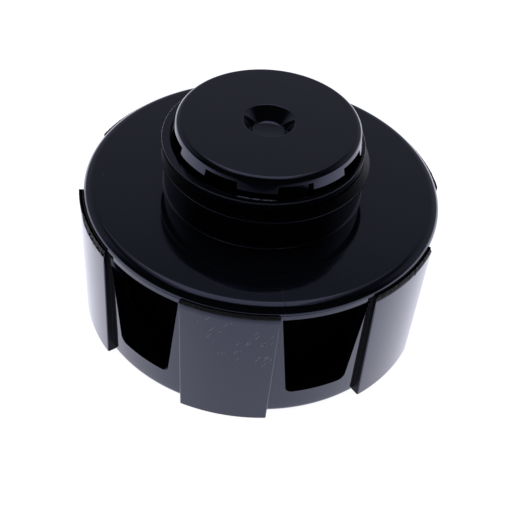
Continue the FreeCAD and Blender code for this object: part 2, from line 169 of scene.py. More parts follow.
@dataclass(frozen=True)
class MouldedNylon:
    """Blue-black polyamide from a polished mould, under a thin film of oil.

    The eye gets sharp, slightly wavy reflections, a thin parting line, specks of dust
    and, on the front pad, short pale scratches.
    """

    name: str = "moulded_gloss_nylon"
    base: str = "14171C"
    pale: str = "C4C6D2"
    tint: str = "4D7EFF"
    ior: float = 1.6
    level: float = 0.25
    roughness: float = 0.12
    roughness_spread: float = 0.04
    film_roughness: float = 0.06
    wear_mm: float = 11.0
    ripple_mm: float = 7.0
    ripple_depth_mm: float = 0.006
    grain_mm: float = 0.35
    grain_depth_mm: float = 0.0004
    parting_angle: float = -79.5
    parting_width_mm: float = 0.22
    parting_height_mm: float = 0.025
    parting_from_mm: float = 26.0
    film: float = 1.0
    scratched: bool = True
    scratch_slant: float = -35.0
    scratch_across_mm: float = 0.5
    scratch_along_mm: float = 4.5
    scratch_cluster_mm: float = 5.5
    dust_cell_mm: float = 5.0
    dust_size: float = 0.02
    dust_share: float = 0.25

    def build(self) -> bpy.types.Material:
        """Makes the material: ripple, fine grain, parting line, dust and scratches.

        Returns:
            The material.
        """
        material, tree, place = new_material(self.name)
        ripple = add_node(tree, "ShaderNodeTexNoise", {
            "Vector": place, "Scale": 1 / (self.ripple_mm * MM), "Detail": 2.0,
            "Roughness": 0.45,
        })
        grain = add_node(tree, "ShaderNodeTexNoise", {
            "Vector": place, "Scale": 1 / (self.grain_mm * MM), "Detail": 3.0,
            "Roughness": 0.6,
        })
        wear = add_node(tree, "ShaderNodeTexNoise", {
            "Vector": place, "Scale": 1 / (self.wear_mm * MM), "Detail": 5.0,
            "Roughness": 0.65,
        })
        rough = add_node(tree, "ShaderNodeMapRange", {
            "Value": wear.outputs["Fac"], "From Min": 0.3, "From Max": 0.7,
            "To Min": self.roughness - self.roughness_spread,
            "To Max": self.roughness + self.roughness_spread,
        })
        parting = self.parting_mask(tree, place)
        low = add_node(tree, "ShaderNodeBump", {
            "Height": ripple.outputs["Fac"], "Distance": self.ripple_depth_mm * MM,
            "Strength": 1.0,
        })
        fine = add_node(tree, "ShaderNodeBump", {
            "Height": grain.outputs["Fac"], "Distance": self.grain_depth_mm * MM,
            "Strength": 1.0, "Normal": low.outputs["Normal"],
        })
        seam = add_node(tree, "ShaderNodeBump", {
            "Height": parting, "Distance": self.parting_height_mm * MM, "Strength": 1.0,
            "Normal": fine.outputs["Normal"],
        })
        pale = self.dust_mask(tree, place)
        if self.scratched:
            pale = add_node(tree, "ShaderNodeMath", {
                0: pale, 1: self.scratch_mask(tree, place),
            }, operation="MAXIMUM").outputs[0]
        colour = add_node(tree, "ShaderNodeMix", {
            "Factor": pale, 6: linear(self.base), 7: linear(self.pale),
        }, data_type="RGBA")
        shader = add_node(tree, "ShaderNodeBsdfPrincipled", {
            "Base Color": colour.outputs[2], "Roughness": rough.outputs["Result"],
            "IOR": self.ior, "Specular IOR Level": self.level,
            "Specular Tint": linear(self.tint), "Normal": seam.outputs["Normal"],
            "Coat Weight": self.film, "Coat Roughness": self.film_roughness, "Coat IOR": 1.5,
            "Coat Normal": seam.outputs["Normal"],
        })
        add_node(tree, "ShaderNodeOutputMaterial", {"Surface": shader.outputs["BSDF"]})
        return material

    def parting_mask(self, tree: bpy.types.NodeTree,
                     place: bpy.types.NodeSocket) -> bpy.types.NodeSocket:
        """A thin ridge in the half plane where the mould's halves met.

        Args:
            tree: the material's tree.
            place: the Object coordinates.

        Returns:
            A socket that is 1 on the line and 0 off it.
        """
        turned = add_node(tree, "ShaderNodeVectorRotate", {
            "Vector": place, "Angle": math.radians(-self.parting_angle),
        }, rotation_type="Z_AXIS")
        split = add_node(tree, "ShaderNodeSeparateXYZ", {"Vector": turned.outputs[0]})
        across = add_node(tree, "ShaderNodeMath", {0: split.outputs["Y"]}, operation="ABSOLUTE")
        line = add_node(tree, "ShaderNodeMapRange", {
            "Value": across.outputs[0], "From Min": 0.0,
            "From Max": self.parting_width_mm * MM / 2, "To Min": 1.0, "To Max": 0.0,
        }, interpolation_type="SMOOTHSTEP")
        beyond = add_node(tree, "ShaderNodeMath", {
            0: split.outputs["X"], 1: self.parting_from_mm * MM,
        }, operation="GREATER_THAN")
        return add_node(tree, "ShaderNodeMath", {
            0: line.outputs["Result"], 1: beyond.outputs[0],
        }, operation="MULTIPLY").outputs[0]

    def scratch_mask(self, tree: bpy.types.NodeTree,
                     place: bpy.types.NodeSocket) -> bpy.types.NodeSocket:
        """Short slanted scratches in clusters on the upper half of the front pad.

        Args:
            tree: the material's tree.
            place: the Object coordinates.

        Returns:
            A socket that is above 0 on a scratch.
        """
        slanted = add_node(tree, "ShaderNodeVectorRotate", {
            "Vector": place, "Angle": math.radians(self.scratch_slant),
        }, rotation_type="Y_AXIS")
        split = add_node(tree, "ShaderNodeSeparateXYZ", {"Vector": slanted.outputs[0]})
        across = add_node(tree, "ShaderNodeMath", {
            0: split.outputs["X"], 1: 1 / (self.scratch_across_mm * MM),
        }, operation="MULTIPLY")
        along = add_node(tree, "ShaderNodeMath", {
            0: split.outputs["Z"], 1: 1 / (self.scratch_along_mm * MM),
        }, operation="MULTIPLY")
        sheet = add_node(tree, "ShaderNodeCombineXYZ", {
            "X": across.outputs[0], "Y": along.outputs[0],
        })
        cells = add_node(tree, "ShaderNodeTexVoronoi", {
            "Vector": sheet.outputs[0], "Scale": 1.0, "Randomness": 1.0,
        }, voronoi_dimensions="2D")
        stroke = add_node(tree, "ShaderNodeMapRange", {
            "Value": cells.outputs["Distance"], "From Min": 0.2, "From Max": 0.33,
            "To Min": 1.0, "To Max": 0.0,
        })
        dice = add_node(tree, "ShaderNodeSeparateColor", {"Color": cells.outputs["Color"]})
        patch = add_node(tree, "ShaderNodeTexNoise", {
            "Vector": place, "Scale": 1 / (self.scratch_cluster_mm * MM), "Detail": 1.0,
        })
        likely = add_node(tree, "ShaderNodeMapRange", {
            "Value": patch.outputs["Fac"], "From Min": 0.42, "From Max": 0.66,
            "To Min": 0.03, "To Max": 0.38,
        })
        chosen = add_node(tree, "ShaderNodeMath", {
            0: dice.outputs[0], 1: likely.outputs["Result"],
        }, operation="LESS_THAN")
        mask = add_node(tree, "ShaderNodeMath", {
            0: stroke.outputs["Result"], 1: chosen.outputs[0],
        }, operation="MULTIPLY").outputs[0]
        plain = add_node(tree, "ShaderNodeSeparateXYZ", {"Vector": place})
        # The front pad's upper half, in millimetres
        limits = [("X", -15.0, "GREATER_THAN"), ("X", 7.0, "LESS_THAN"),
                  ("Y", -49.0, "LESS_THAN"), ("Z", 20.0, "GREATER_THAN"),
                  ("Z", 38.5, "LESS_THAN")]
        for axis, limit, side in limits:
            within = add_node(tree, "ShaderNodeMath", {
                0: plain.outputs[axis], 1: limit * MM,
            }, operation=side)
            mask = add_node(tree, "ShaderNodeMath", {
                0: mask, 1: within.outputs[0],
            }, operation="MULTIPLY").outputs[0]
        return mask

    def dust_mask(self, tree: bpy.types.NodeTree,
                  place: bpy.types.NodeSocket) -> bpy.types.NodeSocket:
        """Specks of dust about 0.2 mm wide, in some of the cells of a loose pattern.

        Args:
            tree: the material's tree.
            place: the Object coordinates.

        Returns:
            A socket that is 1 on a speck and 0 off it.
        """
        cells = add_node(tree, "ShaderNodeTexVoronoi", {
            "Vector": place, "Scale": 1 / (self.dust_cell_mm * MM), "Randomness": 1.0,
        })
        near = add_node(tree, "ShaderNodeMath", {
            0: cells.outputs["Distance"], 1: self.dust_size,
        }, operation="LESS_THAN")
        chance = add_node(tree, "ShaderNodeSeparateColor", {"Color": cells.outputs["Color"]})
        some = add_node(tree, "ShaderNodeMath", {
            0: chance.outputs[0], 1: self.dust_share,
        }, operation="LESS_THAN")
        return add_node(tree, "ShaderNodeMath", {
            0: near.outputs[0], 1: some.outputs[0],
        }, operation="MULTIPLY").outputs[0]


@dataclass(frozen=True)
class TornNylon:
    """Black polyamide where it was knocked or torn: matt, flecked and uneven."""

    name: str = "torn_nylon"
    base: str = "1A1B1F"
    fleck: str = "8E9099"
    crumb_mm: float = 0.9
    crumb_depth_mm: float = 0.25

    def build(self) -> bpy.types.Material:
        """Makes the material: a rough bump with a few whitened flecks.

        Returns:
            The material.
        """
        material, tree, place = new_material(self.name)
        crumb = add_node(tree, "ShaderNodeTexNoise", {
            "Vector": place, "Scale": 1 / (self.crumb_mm * MM), "Detail": 5.0,
            "Roughness": 0.65,
        })
        colour = set_ramp(add_node(tree, "ShaderNodeValToRGB", {"Fac": crumb.outputs["Fac"]}),
                          [(0.52, self.base), (0.68, self.fleck)])
        bump = add_node(tree, "ShaderNodeBump", {
            "Height": crumb.outputs["Fac"], "Distance": self.crumb_depth_mm * MM,
            "Strength": 1.0,
        })
        shader = add_node(tree, "ShaderNodeBsdfPrincipled", {
            "Base Color": colour.outputs["Color"], "Roughness": 0.45, "IOR": 1.53,
            "Specular IOR Level": 0.35, "Normal": bump.outputs["Normal"],
        })
        add_node(tree, "ShaderNodeOutputMaterial", {"Surface": shader.outputs["BSDF"]})
        return material


@dataclass(frozen=True)
class GrainedNylon:
    """Glass-filled black nylon from an eroded mould: an even, matt grain."""

    name: str = "glass_filled_nylon"
    base: str = "0F1012"
    fibre: str = "1D1F23"
    roughness: float = 0.5
    grain_mm: float = 0.5
    grain_depth_mm: float = 0.02

    def build(self) -> bpy.types.Material:
        """Makes the material: a grainy bump and a fleck of surfacing fibre.

        Returns:
            The material.
        """
        material, tree, place = new_material(self.name)
        grain = add_node(tree, "ShaderNodeTexNoise", {
            "Vector": place, "Scale": 1 / (self.grain_mm * MM), "Detail": 4.0,
        })
        bump = add_node(tree, "ShaderNodeBump", {
            "Height": grain.outputs["Fac"], "Distance": self.grain_depth_mm * MM,
            "Strength": 1.0,
        })
        colour = set_ramp(add_node(tree, "ShaderNodeValToRGB", {"Fac": grain.outputs["Fac"]}),
                          [(0.4, self.base), (0.75, self.fibre)])
        shader = add_node(tree, "ShaderNodeBsdfPrincipled", {
            "Base Color": colour.outputs["Color"], "Roughness": self.roughness,
            "IOR": 1.53, "Normal": bump.outputs["Normal"],
        })
        add_node(tree, "ShaderNodeOutputMaterial", {"Surface": shader.outputs["BSDF"]})
        return material


@dataclass(frozen=True)
class Nitrile:
    """Moulded nitrile rubber: soft black with a grey bloom."""

    name: str = "nitrile_rubber"
    base: str = "121314"
    bloom: str = "26282B"
    bloom_mm: float = 4.0
    skin_mm: float = 0.4
    skin_depth_mm: float = 0.015

    def build(self) -> bpy.types.Material:
        """Makes the material: cloudy bloom and a dull, faintly uneven skin.

        Returns:
            The material.
        """
        material, tree, place = new_material(self.name)
        cloud = add_node(tree, "ShaderNodeTexNoise", {
            "Vector": place, "Scale": 1 / (self.bloom_mm * MM), "Detail": 5.0,
        })
        skin = add_node(tree, "ShaderNodeTexNoise", {
            "Vector": place, "Scale": 1 / (self.skin_mm * MM), "Detail": 2.0,
        })
        bump = add_node(tree, "ShaderNodeBump", {
            "Height": skin.outputs["Fac"], "Distance": self.skin_depth_mm * MM,
            "Strength": 1.0,
        })
        colour = set_ramp(add_node(tree, "ShaderNodeValToRGB", {"Fac": cloud.outputs["Fac"]}),
                          [(0.35, self.base), (0.7, self.bloom)])
        shader = add_node(tree, "ShaderNodeBsdfPrincipled", {
            "Base Color": colour.outputs["Color"], "Roughness": 0.62, "IOR": 1.52,
            "Normal": bump.outputs["Normal"],
        })
        add_node(tree, "ShaderNodeOutputMaterial", {"Surface": shader.outputs["BSDF"]})
        return material


@dataclass(frozen=True)
class Metal:
    """A bare or plated metal with a fine pattern left by how it was made."""

    name: str
    light: str
    dark: str
    roughness: float
    pattern_mm: float
    stretch: tuple[float, float, float]
    depth_mm: float

    def build(self) -> bpy.types.Material:
        """Makes the material: a stretched noise tints, roughens and ridges it.

        Returns:
            The material.
        """
        material, tree, place = new_material(self.name)
        drawn = add_node(tree, "ShaderNodeMapping", {"Vector": place, "Scale": self.stretch})
        marks = add_node(tree, "ShaderNodeTexNoise", {
            "Vector": drawn.outputs[0], "Scale": 1 / (self.pattern_mm * MM), "Detail": 4.0,
        })
        colour = set_ramp(add_node(tree, "ShaderNodeValToRGB", {"Fac": marks.outputs["Fac"]}),
                          [(0.35, self.dark), (0.65, self.light)])
        rough = add_node(tree, "ShaderNodeMapRange", {
            "Value": marks.outputs["Fac"], "From Min": 0.3, "From Max": 0.7,
            "To Min": self.roughness * 0.8, "To Max": self.roughness * 1.2,
        })
        bump = add_node(tree, "ShaderNodeBump", {
            "Height": marks.outputs["Fac"], "Distance": self.depth_mm * MM, "Strength": 1.0,
        })
        shader = add_node(tree, "ShaderNodeBsdfPrincipled", {
            "Base Color": colour.outputs["Color"], "Metallic": 1.0,
            "Roughness": rough.outputs["Result"], "Normal": bump.outputs["Normal"],
        })
        add_node(tree, "ShaderNodeOutputMaterial", {"Surface": shader.outputs["BSDF"]})
        return material


@dataclass(frozen=True)
class OpenCellFoam:
    """Reticulated polyurethane foam: black cells whose pores swallow the light."""

    name: str = "open_cell_foam"
    strut: str = "0F1013"
    pore_shade: str = "030304"
    cell_mm: float = 0.9
    pore_depth_mm: float = 0.25

    def build(self) -> bpy.types.Material:
        """Makes the material: cell walls stand out of pores darkened with painted shade.

        Returns:
            The material.
        """
        material, tree, place = new_material(self.name)
        cells = add_node(tree, "ShaderNodeTexVoronoi", {
            "Vector": place, "Scale": 1 / (self.cell_mm * MM),
        }, feature="DISTANCE_TO_EDGE")
        walls = add_node(tree, "ShaderNodeMapRange", {
            "Value": cells.outputs["Distance"], "From Min": 0.02, "From Max": 0.22,
            "To Min": 1.0, "To Max": 0.0,
        })
        # The pores' darker colour is painted shade in the hollows between the cell walls
        colour = set_ramp(add_node(tree, "ShaderNodeValToRGB", {"Fac": walls.outputs["Result"]}),
                          [(0.1, self.pore_shade), (0.8, self.strut)])
        bump = add_node(tree, "ShaderNodeBump", {
            "Height": walls.outputs["Result"], "Distance": self.pore_depth_mm * MM,
            "Strength": 1.0,
        })
        shader = add_node(tree, "ShaderNodeBsdfPrincipled", {
            "Base Color": colour.outputs["Color"], "Roughness": 0.9, "IOR": 1.5,
            "Specular IOR Level": 0.05, "Normal": bump.outputs["Normal"],
        })
        add_node(tree, "ShaderNodeOutputMaterial", {"Surface": shader.outputs["BSDF"]})
        return material


# ---------------------------------------------------------------- mesh helpers


def polar(point: Vector) -> tuple[float, float]:
    """A point's radius and angle about the z axis, in millimetres and degrees."""
    return math.hypot(point.x, point.y), math.degrees(math.atan2(point.y, point.x))


def set_polar(vertex: bmesh.types.BMVert, radius: float, angle: float, height: float) -> None:
    """Puts a vertex at a radius, an angle in degrees and a height."""
    around = math.radians(angle)
    vertex.co = Vector((radius * math.cos(around), radius * math.sin(around), height))


def wrap(angle: float) -> float:
    """An angle in degrees brought to between -180 and 180."""
    return (angle + 180.0) % 360.0 - 180.0


def fold(angle: float, start: float, pitch: float) -> tuple[float, float]:
    """Measures an angle from the nearest of the middles that stand at a pitch.

    Args:
        angle: the angle, in degrees.
        start: the angle of the first middle.
        pitch: from one middle to the next.

    Returns:
        How far it is from that middle, and its side: 1 past it or -1 before it.
    """
    around = (angle - start) % pitch
    return (around, 1.0) if around <= pitch / 2 else (pitch - around, -1.0)


def measure(mesh: bmesh.types.BMesh,
            middle: float) -> Iterator[tuple[bmesh.types.BMFace, float, float, float]]:
    """Goes through a mesh's faces and says where each one is.

    Args:
        mesh: the mesh.
        middle: the angle to measure from, in degrees.

    Yields:
        A face, and its centre's radius, distance in degrees from the middle, and height.
    """
    for face in mesh.faces:
        centre = face.calc_center_median()
        radius, angle = polar(centre)
        yield face, radius, abs(wrap(angle - middle)), centre.z


def draw_outline(mesh: bmesh.types.BMesh, corners: list[Corner], angle: float,
                 closed: bool) -> list:
    """Draws a section to be spun: corners at a radius and height, joined in order.

    Args:
        mesh: the mesh to add to.
        corners: radius and height of each corner.
        angle: where round the axis the section stands, in degrees.
        closed: True joins the last corner to the first.

    Returns:
        The new vertices and edges.
    """
    points = [mesh.verts.new((0, 0, 0)) for _ in corners]
    for point, (radius, height) in zip(points, corners):
        set_polar(point, radius, angle, height)
    pairs = list(zip(points, points[1:]))
    if closed:
        pairs.append((points[-1], points[0]))
    return points + [mesh.edges.new(pair) for pair in pairs]


def turn(mesh: bmesh.types.BMesh, geometry: list, sweep: float, steps: int) -> list:
    """Spins a section about the z axis and returns its last copy.

    Args:
        mesh: the mesh that holds the section.
        geometry: the section's vertices and edges.
        sweep: the angle, in degrees.
        steps: how many strips the angle has.

    Returns:
        The vertices and edges of the last copy.
    """
    full = abs(sweep) >= 360.0
    spun = bmesh.ops.spin(mesh, geom=geometry, cent=(0, 0, 0), axis=(0, 0, 1), dvec=(0, 0, 0),
                          angle=math.radians(sweep), steps=steps, use_merge=full,
                          use_duplicate=False)
    return spun["geom_last"]


def close_up(mesh: bmesh.types.BMesh) -> None:
    """Merges seams and poles and turns every face outwards."""
    bmesh.ops.remove_doubles(mesh, verts=mesh.verts, dist=MERGE)
    bmesh.ops.recalc_face_normals(mesh, faces=mesh.faces)


def bevel(mesh: bmesh.types.BMesh, edges: Iterable[bmesh.types.BMEdge], width: float,
          segments: int) -> None:
    """Rounds edges, convex or concave, with a circular profile.

    Args:
        mesh: the mesh.
        edges: the edges to round.
        width: how far the rounding reaches from each edge.
        segments: how many strips the rounding has.
    """
    bmesh.ops.bevel(mesh, geom=list(edges), offset=width, offset_type="OFFSET",
                    segments=segments, profile=0.5, affect="EDGES", clamp_overlap=True,
                    material=-1)


def ring(mesh: bmesh.types.BMesh, radius: float, height: float) -> list:
    """Finds the edges on a circle about the z axis.

    Args:
        mesh: the mesh.
        radius: the circle's radius.
        height: its height.

    Returns:
        The edges.
    """

    def on_circle(vertex: bmesh.types.BMVert) -> bool:
        """Whether a vertex is on the circle."""
        return abs(vertex.co.z - height) < TOUCH and abs(vertex.co.xy.length - radius) < TOUCH

    return [edge for edge in mesh.edges if all(on_circle(vertex) for vertex in edge.verts)]


def sharp_edges(mesh: bmesh.types.BMesh, angle: float) -> list:
    """The edges at which two faces turn by more than an angle in degrees."""
    return [edge for edge in mesh.edges
            if len(edge.link_faces) == 2 and edge.calc_face_angle(0.0) > math.radians(angle)]


def grow(mesh: bmesh.types.BMesh, faces: list, place: Callable) -> list:
    """Extrudes a region of faces and puts its new vertices where a function says.

    Args:
        mesh: the mesh.
        faces: the region; the old faces are deleted.
        place: takes a vertex and moves it.

    Returns:
        The new end faces.
    """
    grown = bmesh.ops.extrude_face_region(mesh, geom=faces)["geom"]
    for item in grown:
        if isinstance(item, bmesh.types.BMVert):
            place(item)
    bmesh.ops.delete(mesh, geom=faces, context="FACES")
    return [item for item in grown if isinstance(item, bmesh.types.BMFace)]


def make_piece(mesh: bmesh.types.BMesh, name: str, material: bpy.types.Material,
               body: Body, slot: Slot, smooth_below: float = 180.0) -> bpy.types.Object:
    """Turns a mesh in millimetres into a finished piece that rides on a body.

    Args:
        mesh: the mesh, freed here.
        name: the object's name.
        material: its finish.
        body: the body it rides on.
        slot: the record's slot of its finish; not used.
        smooth_below: edges sharper than this angle stay sharp.

    Returns:
        The new object.
    """
    bmesh.ops.scale(mesh, vec=(MM, MM, MM), verts=mesh.verts)
    for face in mesh.faces:
        face.smooth = True
    data = bpy.data.meshes.new(name)
    mesh.to_mesh(data)
    mesh.free()
    if smooth_below < 180.0:
        data.set_sharp_from_angle(angle=math.radians(smooth_below))
    data.materials.append(material)
    piece = bpy.data.objects.new(name, data)
    bpy.context.scene.collection.objects.link(piece)
    weighted = piece.modifiers.new("weighted_normals", "WEIGHTED_NORMAL")
    weighted.keep_sharp = True
    weighted.weight = 60
    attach(piece, body.value)
    return piece


# ---------------------------------------------------------------- the crown


@dataclass
class Crown:
    """Drafted cup with six windows, a rebate under the flange and six grip pads."""

    material: bpy.types.Material
    shaded: bpy.types.Material
    torn: bpy.types.Material
    worn: bpy.types.Material
    height: float = 40.25
    foot_radius: float = 48.1
    rim_radius: float = 49.3
    wall: float = 2.8
    floor: float = 3.0
    foot_round: float = 2.0
    floor_corner_round: float = 2.0
    rim_bar: float = 2.05
    joint_height: float = 0.7
    joint_depth: float = 0.45
    sill: float = 8.5
    window_half_angle: float = 14.2
    window_foot_half_angle: float = 10.3
    window_corner: float = 1.8
    pad_count: int = 6
    pad_rise: float = 1.61
    pad_foot_rise: float = 1.91
    pad_half_angle: float = 15.0
    pad_foot_half_angle: float = 14.0
    front_pad: float = -95.7
    ledge_rise: float = 0.85
    ledge_gap: float = 0.38
    ledge_rim: float = 0.4
    torn_rim: float = 0.9
    rib_radius: float = 37.2
    rib_width: float = 1.5
    rib_height: float = 2.0
    boss_radius: float = 10.95
    boss_wall: float = 2.05
    boss_height: float = 9.0
    pad_edge_round: float = 0.36
    soft_round: float = 0.16
    # Edges that turn by more degrees than this are the ones that get rounded
    sharp_from: float = 40.0
    # Nothing inside this radius belongs to the skirt
    skirt_from: float = 44.5
    # Nothing inside these radii belongs to the skirt's outer face, on and above its foot
    foot_face_from: float = 46.1
    face_from: float = 47.6
    # Column angles that land on the window's corner and edge and on the pad's edge
    tangent_column: float = 10.0
    bend_column: float = 10.8
    edge_column: float = 12.0
    pad_column: float = 15.0
    # How far round from a pad's middle its own top can reach
    pad_reach: float = 20.0
    # Where a pad's top edge is torn, whole, scuffed and chipped, from and to
    torn_stretch: tuple[float, float] = (199.0, 221.0)
    whole_stretch: tuple[float, float] = (189.0, 199.0)
    scuffed_stretch: tuple[float, float] = (250.0, 282.0)
    chipped_stretch: tuple[float, float] = (308.0, 340.0)
    # The torn stretch's run-in, and the part of it that shows bare torn nylon
    torn_run_in: float = 5.0
    bare_stretch: tuple[float, float] = (198.0, 211.0)

    @property
    def pitch(self) -> float:
        """The angle from one pad to the next."""
        return 360.0 / self.pad_count

    @property
    def bar_foot(self) -> float:
        """Height of the windows' straight top."""
        return self.height - self.rim_bar

    @property
    def bar_top(self) -> float:
        """Height of the rebate's floor and of the pads' ledge."""
        return self.height - self.joint_height

    @property
    def corner_knee(self) -> float:
        """Height, over a window's sill, of the first point on its corner's arc."""
        return self.window_corner * (1 - math.sin(math.radians(22.5)))

    def skirt(self, height: float) -> float:
        """The skirt's outer radius at a height."""
        share = min(height / self.bar_foot, 1.0)
        return self.foot_radius + (self.rim_radius - self.foot_radius) * share

    def inner(self, height: float) -> float:
        """Works out the skirt's inside.

        Args:
            height: a height.

        Returns:
            The skirt's inner radius at that height.
        """
        share = (height - self.floor) / (self.bar_foot - self.floor)
        foot, top = self.foot_radius - self.wall, self.rim_radius - self.wall
        return foot + (top - foot) * min(max(share, 0.0), 1.0)

    def window_half(self, height: float) -> float:
        """Works out how wide a window is.

        Args:
            height: a height.

        Returns:
            Half the window's width across at that height.
        """
        foot = self.foot_radius * math.sin(math.radians(self.window_foot_half_angle))
        top = self.rim_radius * math.sin(math.radians(self.window_half_angle))
        share = (height - self.sill) / (self.bar_foot - self.sill)
        return foot + (top - foot) * min(max(share, 0.0), 1.0)

    def pad_edge(self, height: float) -> float:
        """Works out where a pad begins.

        Args:
            height: a height.

        Returns:
            The angle from the window's middle to the pad's edge at that height.
        """
        share = min(height / self.bar_top, 1.0)
        half = self.pad_foot_half_angle
        half += (self.pad_half_angle - self.pad_foot_half_angle) * share
        return self.pitch / 2 - half

    def pad_face(self, height: float) -> float:
        """Works out how far the pads stand out.

        Args:
            height: a height.

        Returns:
            The pads' outer radius at that height.
        """
        foot = self.foot_radius + self.pad_foot_rise
        top = self.rim_radius + self.pad_rise
        return foot + (top - foot) * height / self.bar_top

    def outline(self) -> list[Corner]:
        """Draws the cup's section from the middle of its face round to its floor.

        Returns:
            Its corners.
        """
        rows = [self.sill, self.sill + self.corner_knee, self.sill + self.window_corner]
        rows += [20.0, 30.0, 36.0, self.bar_foot]
        outside = [(self.skirt(height), height) for height in [4.0] + rows]
        inside = [(self.inner(height), height) for height in reversed(rows)]
        rib, boss = self.rib_radius, self.boss_radius
        return [
            (0.0, 0.0), (44.0, 0.0), (self.foot_radius, 0.0), *outside,
            (self.rim_radius, self.bar_top - 0.9), (self.rim_radius, self.bar_top),
            (self.rim_radius - self.joint_depth, self.bar_top),
            (self.rim_radius - self.joint_depth, self.height),
            (self.rim_radius - self.wall, self.height), *inside,
            (self.foot_radius - self.wall, self.floor),
            (rib + self.rib_width, self.floor),
            (rib + self.rib_width, self.floor + self.rib_height),
            (rib, self.floor + self.rib_height), (rib, self.floor),
            (boss + self.boss_wall, self.floor),
            (boss + self.boss_wall, self.floor + self.boss_height),
            (boss, self.floor + self.boss_height), (boss, self.floor), (0.0, self.floor),
        ]

    def columns(self) -> list[tuple[float, int]]:
        """Angles and steps of one sector, from one window's middle to the next."""
        side = [(10.0, 5), (0.8, 1), (1.2, 1), (3.0, 3)]
        return side + [(30.0, 60)] + list(reversed(side))

    def warp(self, angle: float, radius: float, height: float) -> float:
        """Moves the window's and the pad's edges from their column to their real angle.

        Args:
            angle: the column's angle from the window's middle, 0 to 30.
            radius: the vertex's radius.
            height: the vertex's height.

        Returns:
            The angle at which the vertex stands.
        """
        half = self.window_half(height)
        edge = math.degrees(math.asin(half / radius))
        bend = math.degrees(math.asin((half - self.corner_knee) / radius))
        tangent = math.degrees(math.asin((half - self.window_corner) / radius))
        pad = self.pad_edge(height)
        if radius < self.skirt(height) - self.wall / 2:
            pad = max(pad, edge + 0.8)
        middle = self.pitch / 2
        knots = [(0.0, 0.0), (self.tangent_column, tangent), (self.bend_column, bend),
                 (self.edge_column, edge), (self.pad_column, pad), (middle, middle)]
        for (low, start), (high, end) in zip(knots, knots[1:]):
            if angle <= high + 1e-6:
                return start + (end - start) * (angle - low) / (high - low)
        return angle

    def shape(self, mesh: bmesh.types.BMesh, start: float) -> None:
        """Moves the spun cup's columns to the windows' and pads' edges.

        Args:
            mesh: the spun cup.
            start: the angle of the first window's middle.
        """
        for vertex in mesh.verts:
            radius, angle = polar(vertex.co)
            if radius < self.skirt_from:
                continue
            height = vertex.co.z
            column, side = fold(angle, start, self.pitch)
            middle = angle - side * column
            placed = self.warp(column, radius, height)
            placed, height = self.round_corner(column, radius, height, placed)
            set_polar(vertex, radius, middle + side * placed, height)

    def round_corner(self, column: float, radius: float, height: float,
                     placed: float) -> Corner:
        """Moves a vertex at the end of a window's sill onto the corner's arc.

        Args:
            column: the vertex's column angle.
            radius: its radius.
            height: its height.
            placed: its angle so far.

        Returns:
            Its new angle and height.
        """
        slight = self.window_corner * (1 - math.cos(math.radians(22.5)))
        deep = self.window_corner * (1 - math.sin(math.radians(45)))
        half = self.window_half(height)
        on_edge = abs(column - self.edge_column) < TOUCH
        on_sill = abs(height - self.sill) < TOUCH
        if on_sill and on_edge:
            return math.degrees(math.asin((half - deep) / radius)), height + deep
        if on_sill and abs(column - self.bend_column) < TOUCH:
            return placed, height + slight
        if on_edge and abs(height - self.sill - self.corner_knee) < TOUCH:
            return math.degrees(math.asin((half - slight) / radius)), height
        return placed, height

    def cut_window(self, mesh: bmesh.types.BMesh, middle: float) -> None:
        """Opens one window through the skirt and closes its reveal.

        Args:
            mesh: the cup.
            middle: the angle of the window's middle.
        """
        faces = [
            face for face, radius, away, height in measure(mesh, middle)
            if radius > self.skirt_from and self.sill < height < self.bar_foot
            and away < self.edge_column + 2.0 * height / self.height
            and radius * math.sin(math.radians(away)) < self.window_half(height)
        ]
        inside = set(faces)
        border = [
            edge for edge in {edge for face in faces for edge in face.edges}
            if sum(face in inside for face in edge.link_faces) == 1
        ]
        bmesh.ops.delete(mesh, geom=faces, context="FACES_ONLY")
        loose = [edge for edge in mesh.edges if not edge.link_faces]
        bmesh.ops.delete(mesh, geom=loose, context="EDGES")
        bmesh.ops.bridge_loops(mesh, edges=border)

    def raise_pad(self, mesh: bmesh.types.BMesh, middle: float) -> None:
        """Grows one grip pad out of the skirt.

        Args:
            mesh: the cup with its foot already rounded.
            middle: the angle of the pad's middle.
        """
        faces = [
            face for face, radius, away, height in measure(mesh, middle)
            if radius > (self.foot_face_from if height < self.foot_round else self.face_from)
            and TOUCH < height < self.bar_top - TOUCH
            and away < self.pitch / 2 - self.pad_edge(height)
        ]

        def place(vertex: bmesh.types.BMVert) -> None:
            """Moves a vertex out to the pad's face."""
            _, angle = polar(vertex.co)
            set_polar(vertex, self.pad_face(vertex.co.z), angle, vertex.co.z)

        grow(mesh, faces, place)
        self.raise_ledge(mesh, middle)

    def raise_ledge(self, mesh: bmesh.types.BMesh, middle: float) -> None:
        """Lifts a pad's top a little beside the flange and wears its outer edge.

        Args:
            mesh: the cup.
            middle: the angle of the pad's middle.
        """
        ledge = [
            face for face, radius, away, height in measure(mesh, middle)
            if abs(height - self.bar_top) < TOUCH and radius > self.rim_radius + 0.2
            and away < self.pad_reach
        ]

        def place(vertex: bmesh.types.BMVert) -> None:
            """Lifts a vertex, and moves an inner one away from the flange.

            Args:
                vertex: the vertex.
            """
            radius, angle = polar(vertex.co)
            if radius < self.rim_radius + 0.1:
                radius = self.rim_radius + self.ledge_gap
            set_polar(vertex, radius, angle, self.bar_top + self.ledge_rise)

        top = grow(mesh, ledge, place)
        front = abs(wrap(middle - self.front_pad)) < 1.0
        bmesh.ops.inset_region(mesh, faces=top, use_even_offset=True,
                               thickness=self.ledge_rim if front else self.torn_rim)
        self.wear_edge(mesh, middle)

